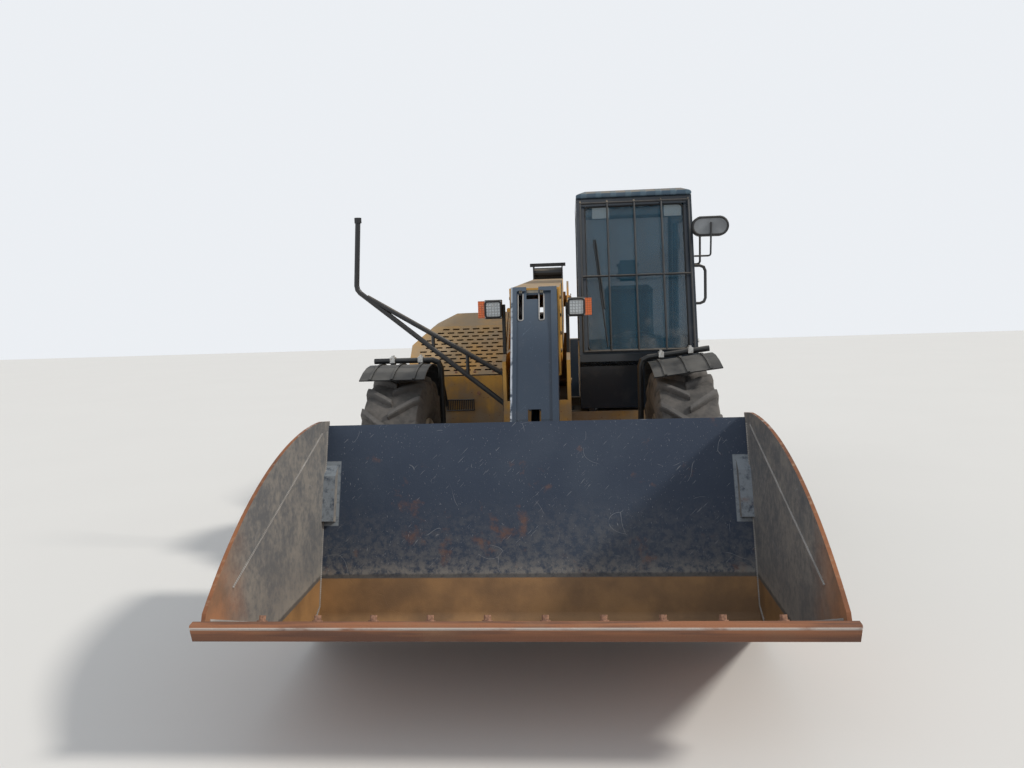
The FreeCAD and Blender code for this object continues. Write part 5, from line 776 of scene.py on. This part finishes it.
# %% Trees for repeated pieces
class Tree:
    """A Geometry Nodes tree. Its inputs are given as name: kind, and each tree has a Paint as well."""

    def __init__(self, name, inputs):
        self.group = bpy.data.node_groups.new(name, "GeometryNodeTree")
        self.group.interface.new_socket("Geometry", in_out="INPUT", socket_type="NodeSocketGeometry")
        self.keys = {}
        for label, kind in {**inputs, "Paint": "Material"}.items():
            socket = self.group.interface.new_socket(label, in_out="INPUT", socket_type="NodeSocket" + kind)
            self.keys[label] = socket.identifier
        self.group.interface.new_socket("Geometry", in_out="OUTPUT", socket_type="NodeSocketGeometry")
        self.given = self.group.nodes.new("NodeGroupInput").outputs

    def add(self, kind, settings=None, output=0, **inputs):
        """A node; the inputs' names are lower case with _ for a space, or in_0 for the first socket."""
        node = self.group.nodes.new(kind)
        for name, value in (settings or {}).items():
            setattr(node, name, value)
        for name, value in inputs.items():
            wanted = name.replace("_", " ")
            socket = (node.inputs[int(name[3:])] if name.startswith("in_")
                      else [item for item in node.inputs if item.name.lower() == wanted and item.enabled][0])
            if isinstance(value, bpy.types.NodeSocket):
                self.group.links.new(value, socket)
            else:
                socket.default_value = value
        return node.outputs[output]

    def maths(self, operation, first, second):
        return self.add("ShaderNodeMath", {"operation": operation}, in_0=first, in_1=second)

    def join(self, first, second):
        """Two geometries in one."""
        both = self.add("GeometryNodeJoinGeometry", geometry=first)
        self.group.links.new(second, both.node.inputs[0])
        return both

    def end(self, geometry):
        """The last nodes: real geometry in place of instances, with its material."""
        real = self.add("GeometryNodeRealizeInstances", geometry=geometry)
        painted = self.add("GeometryNodeSetMaterial", geometry=real, material=self.given["Paint"])
        ending = self.group.nodes.new("NodeGroupOutput")
        self.group.links.new(painted, ending.inputs[0])


def fill(name, tree, values, finish_name, body, start=None):
    """Run a tree with its values, and keep the result as a plain mesh on a body."""
    thing = new_object(name, start or bpy.data.meshes.new(name))
    modifier = thing.modifiers.new("tree", "NODES")
    modifier.node_group = tree.group
    for label, value in {**values, "Paint": finishes[finish_name]}.items():
        modifier[tree.keys[label]] = value
    return link_mesh(name, settle(thing, name), finish_name, body)


def bars_tree():
    """Copies of one bar round an axle, joined to the casing that comes in."""
    tree = Tree("bars_round_axle", {"Count": "Int", "Phase": "Float", "Centre": "Vector", "Bar": "Object"})
    given = tree.given
    points = tree.add("GeometryNodePoints", count=given["Count"], position=given["Centre"])
    step = tree.maths("DIVIDE", 2 * math.pi, given["Count"])
    angle = tree.maths("MULTIPLY", tree.add("GeometryNodeInputIndex"), step)
    turn = tree.add("ShaderNodeCombineXYZ", x=tree.maths("ADD", angle, given["Phase"]))
    bar = tree.add("GeometryNodeObjectInfo", output=4, object=given["Bar"])
    placed = tree.add("GeometryNodeInstanceOnPoints", points=points, instance=bar, rotation=turn)
    tree.end(tree.join(placed, given["Geometry"]))
    return tree


round_axle = bars_tree()

# %% [markdown]
# Each tyre is its turned casing with one row of bars on each side, the second row half a step further round. It
# then stands for the plain tyre of the CAD, and the turned rim for the plain rim.

# %% Tyres and rims
# (along X, radius) points; the half from the inner bead to the tread's shoulder is mirrored
half_section = [(0.140, 0.3005), (0.148, 0.304), (0.168, 0.330), (0.192, 0.385), (0.1985, 0.43),
                (0.196, 0.485), (0.186, 0.545), (0.172, 0.572), (0.14, 0.581)]
tyre_section = [(-along, radius) for along, radius in half_section] + half_section[::-1]
rim_section = [(-0.171, 0.288), (-0.171, 0.320), (-0.166, 0.323), (-0.160, 0.320), (-0.159, 0.300), (0.159, 0.300),
               (0.160, 0.320), (0.166, 0.323), (0.171, 0.320), (0.171, 0.289), (0.10, 0.287), (0.030, 0.280),
               (0.020, 0.235), (0.016, 0.192), (0.016, 0.0605), (0.001, 0.0605), (0.001, 0.192), (-0.010, 0.24),
               (-0.016, 0.287)]
for corner, (side, along) in WHEELS.items():
    centre = spot(HALF_TRACK * side, along, TYRE_RADIUS)
    wheel = "wheel_" + corner
    rubber = "tyre_" + corner
    row = {"Count": BARS, "Phase": 0.0, "Centre": centre, "Bar": bars[1]}
    other_row = {**row, "Phase": math.pi / BARS, "Bar": bars[-1]}
    half_done = fill("tread_" + corner, round_axle, row, rubber, wheel,
                     turned("casing_" + corner, tyre_section, centre, 96))
    tyre = fill("tyre_dressed_" + corner, round_axle, other_row, rubber, wheel, half_done.data.copy())
    bpy.data.objects.remove(half_done)
    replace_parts(tyre, rubber)
    name = "rim_dressed_" + corner
    rim = turned(name, [(x * side, radius) for x, radius in rim_section], centre, 72)
    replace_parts(link_mesh(name, rim, "rim_enamel", wheel), "rim_" + corner)

# %% [markdown]
# Bolts, nuts and studs are one head on one washer, set in a row or in a ring. Both trees share the head. In a ring
# each head is turned by a seeded random angle, because a fitter never leaves all the hexagons in line.

# %% Studs in a row and in a ring
STUD_INPUTS = {"Count": "Int", "Start": "Vector", "End": "Vector", "Radius": "Float", "Head": "Float",
               "Height": "Float", "Facing": "Vector", "Seed": "Int"}


def studs_tree(name, ring):
    """In a ring the studs stand round Start at Radius; in a row they stand from Start to End."""
    tree = Tree(name, STUD_INPUTS)
    given = tree.given
    hexagon = tree.add("GeometryNodeMeshCylinder", vertices=6, radius=given["Head"], depth=given["Height"])
    lift = tree.add("ShaderNodeCombineXYZ", z=tree.maths("MULTIPLY", given["Height"], 0.5))
    raised = tree.add("GeometryNodeTransform", geometry=hexagon, translation=lift)
    washer = tree.add("GeometryNodeMeshCylinder", vertices=16, radius=tree.maths("MULTIPLY", given["Head"], 1.45),
                      depth=tree.maths("MULTIPLY", given["Height"], 0.4))
    head = tree.join(raised, washer)
    if ring:
        spin = tree.add("FunctionNodeRandomValue", output=1, in_3=1.05, in_8=given["Seed"])
        twist = tree.add("ShaderNodeCombineXYZ", z=spin)
        circle = tree.add("GeometryNodeMeshCircle", vertices=given["Count"], radius=given["Radius"])
        studs = tree.add("GeometryNodeInstanceOnPoints", points=circle, instance=head, rotation=twist)
        whole = tree.add("GeometryNodeTransform", geometry=studs, translation=given["Start"],
                         rotation=given["Facing"])
    else:
        facing_head = tree.add("GeometryNodeTransform", geometry=head, rotation=given["Facing"])
        line = tree.add("GeometryNodeMeshLine", {"mode": "END_POINTS"}, count=given["Count"], in_2=given["Start"],
                        in_3=given["End"])
        whole = tree.add("GeometryNodeInstanceOnPoints", points=line, instance=facing_head)
    tree.end(whole)
    return tree


stud_row = studs_tree("studs_in_a_row", False)
stud_ring = studs_tree("studs_in_a_ring", True)


def studs(name, tree, count, ends, radius, size, facing, finish_name, body):
    """A row from end to end or a ring round the first end; size is the head's radius and its height."""
    return fill(name, tree, {
        "Count": count, "Start": ends[0], "End": ends[-1], "Radius": radius, "Head": size[0], "Height": size[1],
        "Facing": facing, "Seed": 3,
    }, finish_name, body)


COVER_SLOPE = math.radians(43.5)
RIM_FACE = HALF_TRACK + 0.016
HUB_CAP_FACE = HALF_TRACK + 0.1245
studs("edge_bolts", stud_row, 10, (spot(-0.926, -2.588, 0.573), spot(0.926, -2.588, 0.573)), 0, (0.013, 0.022),
      (-FLOOR_SLOPE, 0, 0), "rusty_stud", "bucket")
studs("cover_bolts", stud_row, 5, (spot(-1.0, 0.870, 1.186), spot(-0.40, 0.870, 1.186)), 0, (0.008, 0.006),
      (COVER_SLOPE, 0, 0), "rusty_stud", "cover")
for corner, (side, along) in WHEELS.items():
    outward = (0, side * math.pi / 2, 0)
    studs("nuts_" + corner, stud_ring, 10, [spot(RIM_FACE * side, along, TYRE_RADIUS)], 0.150, (0.015, 0.022),
          outward, "casting", "wheel_" + corner)
    studs("cap_bolts_" + corner, stud_ring, 8, [spot(HUB_CAP_FACE * side, along, TYRE_RADIUS)], 0.085,
          (0.007, 0.006), outward, "casting", "steer_" + corner)

# %% [markdown]
# Seals, the wiper, bezels and rims are all something thin along a line. A poly curve with a round bevel makes
# them, with its corners rounded in Python first. The first ones are the seals of windscreen and door, and the wiper.

# %% Thin pieces along a line
def rounded(points, radius, closed, steps=4):
    """The points with each corner replaced by a short arc."""
    line = []
    count = len(points)
    for index, corner in enumerate(points):
        if not closed and index in (0, count - 1):
            line.append(corner)
            continue
        before = points[index - 1] - corner
        after = points[(index + 1) % count] - corner
        reach = min(radius, before.length / 2, after.length / 2)
        start = corner + before.normalized() * reach
        end = corner + after.normalized() * reach
        for step in range(steps + 1):
            share = step / steps
            line.append(start.lerp(corner, share).lerp(corner.lerp(end, share), share))
    return line


def along_line(name, lines, radius, finish_name, body, closed=False, sides=2):
    """Round bars along one or more lines of points."""
    curve = bpy.data.curves.new(name, "CURVE")
    curve.dimensions = "3D"
    curve.bevel_depth = radius
    curve.bevel_resolution = sides
    curve.use_fill_caps = True
    for line in lines:
        spline = curve.splines.new("POLY")
        spline.points.add(len(line) - 1)
        for point, place in zip(spline.points, line):
            point.co = (*place, 1)
        spline.use_cyclic_u = closed
    return link_mesh(name, settle(new_object(name, curve), name), finish_name, body)


def leaning(foot, lean, up):
    """How far along Y a leaning face is at a height; foot is one of its points, along Y and up."""
    return foot[0] + (up - foot[1]) * lean


SCREEN_FOOT, SCREEN_LEAN = (0.655, 1.31), 0.2371


def screen_spot(across, up, proud):
    """A place on the windscreen's outer face, or so far before it."""
    return spot(across, leaning(SCREEN_FOOT, SCREEN_LEAN, up) - proud, up)


screen_corners = ((0.350, 1.336), (1.110, 1.336), (1.110, 2.445), (0.350, 2.445))
screen_loop = [screen_spot(across, up, -0.012) for across, up in screen_corners]
along_line("screen_seal", [rounded(screen_loop, 0.05, True)], 0.008, "seal_rubber", "machine", closed=True)
door_corners = ((0.862, 1.415), (1.690, 1.415), (1.690, 2.360), (1.085, 2.360))
door_loop = [spot(1.168, along, up) for along, up in door_corners]
along_line("door_seal", [rounded(door_loop, 0.04, True)], 0.008, "seal_rubber", "door", closed=True)
wiper_foot = screen_spot(0.500, 1.365, 0.004)
wiper_top = screen_spot(0.413, 2.185, 0.004)
along_line("wiper_arm", [[wiper_foot, wiper_top]], 0.006, "tube_black", "machine")
blade = [wiper_foot.lerp(wiper_top, share) + Vector((0.014, 0.006, 0)) for share in (0.35, 1.0)]
along_line("wiper_blade", [blade], 0.007, "seal_rubber", "machine")

# %% [markdown]
# The lamps get a moulded bezel, and the cab's mirror a rubber rim, a glass and the bent stalk that carries it. The
# mirror's outline has straight edges and round ends, so one function gives both the rim and the glass.

# %% Lamp bezels, mirror, door knob and stalk
LAMP_ACROSS, LAMP_FACE, LAMP_HEIGHT = 0.258, -0.4255, 1.675
LAMP_CORNERS = ((-0.048, -0.049), (0.048, -0.049), (0.048, 0.049), (-0.048, 0.049))
for side in (1, -1):
    lamp_loop = [spot(LAMP_ACROSS * side + across, LAMP_FACE, LAMP_HEIGHT + up) for across, up in LAMP_CORNERS]
    along_line(f"lamp_bezel_{side}", [rounded(lamp_loop, 0.016, True)], 0.0065, "lamp_plastic", "machine",
               closed=True)


def stadium(centre, half, radius, count=10):
    """Points round an upright shape with straight top and bottom and round ends."""
    line = []
    for side, first in ((1, -math.pi / 2), (-1, math.pi / 2)):
        for step in range(count + 1):
            angle = first + math.pi * step / count
            line.append(centre + Vector((side * half + radius * math.cos(angle), 0, radius * math.sin(angle))))
    return line


MIRROR_HALF = 0.066  # from the mirror's middle to the centre of each round end
mirror_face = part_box("cab_mirror")[0].y
mirror_middle = Vector((1.198, mirror_face, 2.246))
along_line("mirror_rim", [stadium(mirror_middle, MIRROR_HALF, 0.063)], 0.008, "lamp_plastic", "machine",
           closed=True)


def prism(outline, away):
    """A plate or block as a bmesh: an outline, a copy moved away, and walls between them."""
    shape = bmesh.new()
    near = [shape.verts.new(point) for point in outline]
    far = [shape.verts.new(point + away) for point in outline]
    shape.faces.new(near)
    shape.faces.new(far[::-1])
    skin(shape, [far, near])
    bmesh.ops.recalc_face_normals(shape, faces=shape.faces)
    return shape


glass_line = stadium(mirror_middle + Vector((0, -0.003, 0)), MIRROR_HALF, 0.059)
link_mesh("mirror_glass", mesh_from(prism(glass_line, Vector((0, 0.004, 0))), "mirror_glass"), "mirror_face",
          "machine")
knob = [spot(1.170, 1.02, 1.376), spot(1.238, 1.02, 1.376)]
along_line("door_knob", [knob], 0.016, "pale_plastic", "door", sides=4)
stalk_y = mirror_face - 0.010
stalk = [Vector((1.202, stalk_y, 2.273)), Vector((1.196, stalk_y, 2.025)), Vector((1.075, stalk_y, 2.026))]
along_line("mirror_stalk", [rounded(stalk, 0.02, False)], 0.007, "tube_black", "machine")

# %% [markdown]
# The nose's two slots are rimmed with weld. The engine's skirt has a small air grille, made by a tree that sets
# slats in a row, and bolts stand on the skirt, round the boom's pivot and over the boom's slide pads.

# %% Slot rims on the nose, the air grille and the pivot's bolts
NOSE_FOOT, NOSE_LEAN = (-1.0206, 1.62), 0.4812


def nose_face(across, up):
    """A place 2 mm before the nose's upper face."""
    return Vector((across, leaning(NOSE_FOOT, NOSE_LEAN, up), up))


SLOT_LOW, SLOT_HIGH, SLOT_HALF = 1.602, 1.762, 0.015
SLOT_MIDDLES = (-0.169, -0.041)
rims = []
for middle in SLOT_MIDDLES:
    left, right = middle - SLOT_HALF, middle + SLOT_HALF
    rims.append(rounded([nose_face(left, SLOT_HIGH), nose_face(left, SLOT_LOW), nose_face(right, SLOT_LOW),
                         nose_face(right, SLOT_HIGH)], 0.013, False))
along_line("slot_rims", rims, 0.0035, "weld_grey", "boom_inner")


def slats_tree():
    """Flat bars in a row from Start to End."""
    tree = Tree("slats_in_a_row", {"Count": "Int", "Start": "Vector", "End": "Vector", "Size": "Vector"})
    given = tree.given
    line = tree.add("GeometryNodeMeshLine", {"mode": "END_POINTS"}, count=given["Count"], in_2=given["Start"],
                    in_3=given["End"])
    slat = tree.add("GeometryNodeMeshCube", size=given["Size"])
    tree.end(tree.add("GeometryNodeInstanceOnPoints", points=line, instance=slat))
    return tree


left, right, foot, head = -0.861, -0.643, 0.888, 0.972  # edges of the grille
skirt_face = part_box("engine_skirt")[0].y
grille_corners = ((left, foot), (right, foot), (right, head), (left, head))
grille_line = [Vector((across, skirt_face - 0.004, up)) for across, up in grille_corners]
along_line("grille_frame", [grille_line], 0.006, "lamp_plastic", "machine", closed=True)
slat_start = Vector((left + 0.014, skirt_face - 0.003, (foot + head) / 2))
slat_end = Vector((right - 0.014, skirt_face - 0.003, (foot + head) / 2))
fill("grille_slats", slats_tree(), {
    "Count": 14, "Start": slat_start, "End": slat_end, "Size": Vector((0.006, 0.006, head - foot)),
}, "lamp_plastic", "machine")
studs("band_bolts", stud_row, 2, (Vector((-0.90, skirt_face, 1.02)), Vector((-0.60, skirt_face, 1.02))), 0,
      (0.011, 0.007), (math.pi / 2, 0, 0), "rusty_stud", "machine")
PIVOT_FACE, PIVOT_ALONG, PIVOT_HEIGHT = 0.2296, 3.05, 1.76
BOOM_SIDE, PAD_LOW, PAD_HIGH = 0.155, 1.40, 1.74
for side in (1, -1):
    outward = (0, side * math.pi / 2, 0)
    studs(f"pivot_bolts_{side}", stud_ring, 6, [spot(PIVOT_FACE * side, PIVOT_ALONG, PIVOT_HEIGHT)], 0.046,
          (0.009, 0.008), outward, "casting", "machine")
    for column, along in enumerate((-0.325, -0.225)):
        pads = (spot(BOOM_SIDE * side, along, PAD_LOW), spot(BOOM_SIDE * side, along, PAD_HIGH))
        studs(f"pad_bolts_{side}_{column}", stud_row, 4, pads, 0, (0.010, 0.008), outward, "casting",
              "boom_outer")

# %% [markdown]
# Each mudguard hangs from a tube, and two bright clamps hold it there. A clamp is a saddle with two bolt ends. The
# front one on the cab's side leans by seven degrees, as its tube does.

# %% Clamps of the mudguard tubes
def box_mesh(name, boxes):
    """Several boxes, each given by two corners, as one mesh."""
    shape = bmesh.new()
    for low, high in boxes:
        middle = (low + high) / 2
        for vert in bmesh.ops.create_cube(shape, size=1.0)["verts"]:
            vert.co = Vector([middle[axis] + vert.co[axis] * (high[axis] - low[axis]) for axis in range(3)])
    return mesh_from(shape, name)


CLAMP = (
    # half width, then from and to along Y, then from and to in height
    (0.017, -0.031, 0.031, -0.012, 0.026),
    (0.006, -0.026, -0.014, 0.020, 0.038),
    (0.006, 0.014, 0.026, 0.020, 0.038),
)
GUARD_INNER, GUARD_WIDTH = 0.69, 0.47  # the inner edge from the centreline, and the width
GUARD_TUBE = (0.114, 1.337)  # behind the axle, and up
for corner, (side, along) in WHEELS.items():
    lean = math.sin(math.radians(7)) if corner == "front_right" else 0.0
    tube = along + GUARD_TUBE[0]
    boxes = []
    for share in (0.3, 0.72):
        across = (GUARD_INNER + GUARD_WIDTH * share) * side
        up = GUARD_TUBE[1] + GUARD_WIDTH * (share - 0.5) * lean
        for half, back, ahead, low, high in CLAMP:
            boxes.append((spot(across - half, tube + back, up + low), spot(across + half, tube + ahead, up + high)))
    link_mesh("clamps_" + corner, box_mesh("clamps_" + corner, boxes), "bright_steel", "steer_" + corner,
              smooth=False)

# %% [markdown]
# Weld beads run where the cheeks meet the floor and the back of the bucket. The seam is a plain line of points, and
# a tree sets small beads along it at an even spacing.

# %% Weld beads
def beads_tree():
    """Small beads at an even spacing along the edges that come in."""
    tree = Tree("beads_along_a_line", {"Spacing": "Float", "Bead": "Float"})
    given = tree.given
    line = tree.add("GeometryNodeMeshToCurve", mesh=given["Geometry"])
    even = tree.add("GeometryNodeCurveToPoints", {"mode": "LENGTH"}, curve=line, length=given["Spacing"])
    bead = tree.add("GeometryNodeMeshIcoSphere", radius=given["Bead"], subdivisions=1)
    tree.end(tree.add("GeometryNodeInstanceOnPoints", points=even, instance=bead))
    return tree


def line_mesh(name, lines):
    """Edges through each line's points, as one mesh."""
    mesh = bpy.data.meshes.new(name)
    points = [point for line in lines for point in line]
    edges = []
    start = 0
    for line in lines:
        edges += [(start + index, start + index + 1) for index in range(len(line) - 1)]
        start += len(line)
    mesh.from_pydata(points, edges, [])
    return mesh


CHEEK_FACE = 1.133  # the inner face of a cheek, from the centreline
SEAMS = (
    # (along Y, up) points: down the back and out along the floor, and across the cheek from its top to its front
    ((-1.10, 1.03), (-1.385, 0.15), (-1.50, 0.092), (-2.56, 0.566)),
    ((-1.19, 1.035), (-2.36, 0.62)),
)
seam_lines = [[spot(CHEEK_FACE * side, along, up) for along, up in seam] for side in (1, -1) for seam in SEAMS]
fill("bucket_welds", beads_tree(), {"Spacing": 0.011, "Bead": 0.006}, "weld_grey", "bucket",
     line_mesh("seams", seam_lines))

# %% [markdown]
# The seat is foam under cloth, so it is made as soft goods. Each part starts as a block a little inside its CAD
# solid, becomes an even mesh through a voxel Remesh, and is blown up by Cloth pressure for 20 frames with gravity
# off. A cap on how far a point moves keeps it inside the space that the solid holds.

# %% Seat, blown up as cloth
SEAT_MIDDLE = 0.73
SEAT_PARTS = {
    # part: corners in side view (along Y, up) from the rear low one, half width, cap
    "seat_squab": (((1.560, 1.205), (1.555, 1.318), (1.105, 1.322), (1.105, 1.205)), 0.222, 0.012),
    "seat_back": (((1.558, 1.345), (1.635, 1.862), (1.558, 1.862), (1.475, 1.345)), 0.222, 0.014),
    "seat_head": (((1.640, 1.872), (1.650, 2.068), (1.586, 2.068), (1.568, 1.872)), 0.105, 0.012),
}


def blown(name, side_view, half, cap):
    """A block with round edges, blown up as cloth, with no point moved further than cap."""
    block = prism([spot(SEAT_MIDDLE - half, along, up) for along, up in side_view], Vector((2 * half, 0, 0)))
    bmesh.ops.bevel(block, geom=block.edges[:], offset=0.03, segments=3, affect="EDGES")
    thing = new_object(name, mesh_from(block, name))
    even = thing.modifiers.new("even", "REMESH")
    even.voxel_size = 0.011
    start = settle(thing, name + "_start")
    rest = [vert.co.copy() for vert in start.vertices]
    swollen = start
    thing = new_object(name, start)
    cloth = thing.modifiers.new("cloth", "CLOTH")
    cloth.settings.use_pressure = True
    cloth.settings.uniform_pressure_force = 4.0
    cloth.settings.effector_weights.gravity = 0.0
    scene = bpy.context.scene
    for frame_number in range(1, 21):
        scene.frame_set(frame_number)
    swollen = settle(thing, name + "_swollen")
    scene.frame_set(1)
    for vert, place in zip(swollen.vertices, rest):
        move = vert.co - place
        if move.length > cap:
            vert.co = place + move.normalized() * cap
    thing = new_object(name, swollen)
    finer = thing.modifiers.new("finer", "SUBSURF")
    finer.levels = finer.render_levels = 1
    return link_mesh(name, settle(thing, name), "seat_cloth", "machine")


for name, (side_view, half, cap) in SEAT_PARTS.items():
    cushion = blown(name, side_view, half, cap)
    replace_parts(cushion, "seat_cushion")

# %% [markdown]
# The floor is a wide pale sheet, and the world is a pale room, which the camera sees brighter than it lights the
# machine. A soft distant lamp stands in for the low sun on the cab's side, and a much wider and weaker one fills
# the other side. Distant lamps light near and far floor alike, so the floor stays even.

# %% Floor and light
def pale_floor(half=30.0, tone=(0.74, 0.735, 0.72)):
    mesh = bpy.data.meshes.new("floor")
    mesh.from_pydata([(-half, -half, 0), (half, -half, 0), (half, half, 0), (-half, half, 0)], [], [(0, 1, 2, 3)])
    place = begin("floor_finish")
    finish("floor_finish", mix(noise(place, 1.5), tone, tuple(value * 0.96 for value in tone)), 0.9)
    mesh.materials.append(finishes["floor_finish"])
    new_object("floor", mesh)


def soft_sun(name, towards, width, strength, tint):
    """A distant lamp that stands in the direction given, with shadows as soft as its width in degrees."""
    lamp = bpy.data.lights.new(name, "SUN")
    lamp.angle = math.radians(width)
    lamp.energy = strength
    lamp.color = tint
    new_object(name, lamp).rotation_euler = Vector(towards).to_track_quat("Z", "Y").to_euler()


def pale_room(seen=0.90, lit=0.55):
    world = bpy.data.worlds.new("pale_room")
    bpy.context.scene.world = world
    world.use_nodes = True
    tree = world.node_tree
    ray = Wire(tree.nodes.new("ShaderNodeLightPath").outputs["Is Camera Ray"])
    background = tree.nodes["Background"]
    background.inputs["Color"].default_value = (0.93, 0.96, 1.0, 1)
    strength = lit + ray * (seen - lit)
    tree.links.new(strength.socket, background.inputs["Strength"])


pale_floor()
pale_room()
soft_sun("sun_side", (0.75, -0.16, 0.62), 7, 2.3, (1.0, 0.95, 0.87))
soft_sun("fill_side", (-0.5, -0.75, 0.55), 60, 0.5, (0.88, 0.94, 1.0))

# %% [markdown]
# The camera stands low in front of the bucket, a little to the cab's side, with a wide lens and a slight roll.

# %% Camera
lens = bpy.data.cameras.new("camera")
lens.lens = 27.08
lens.sensor_width = 36
camera = new_object("camera", lens)
camera.location = (0.128, -5.696, 1.674)
camera.rotation_euler = [math.radians(angle) for angle in (84.437, 1.851, 4.240)]
bpy.context.scene.camera = camera
bpy.context.scene.view_settings.view_transform = "Standard"
print("camera", [round(value, 3) for value in camera.location])
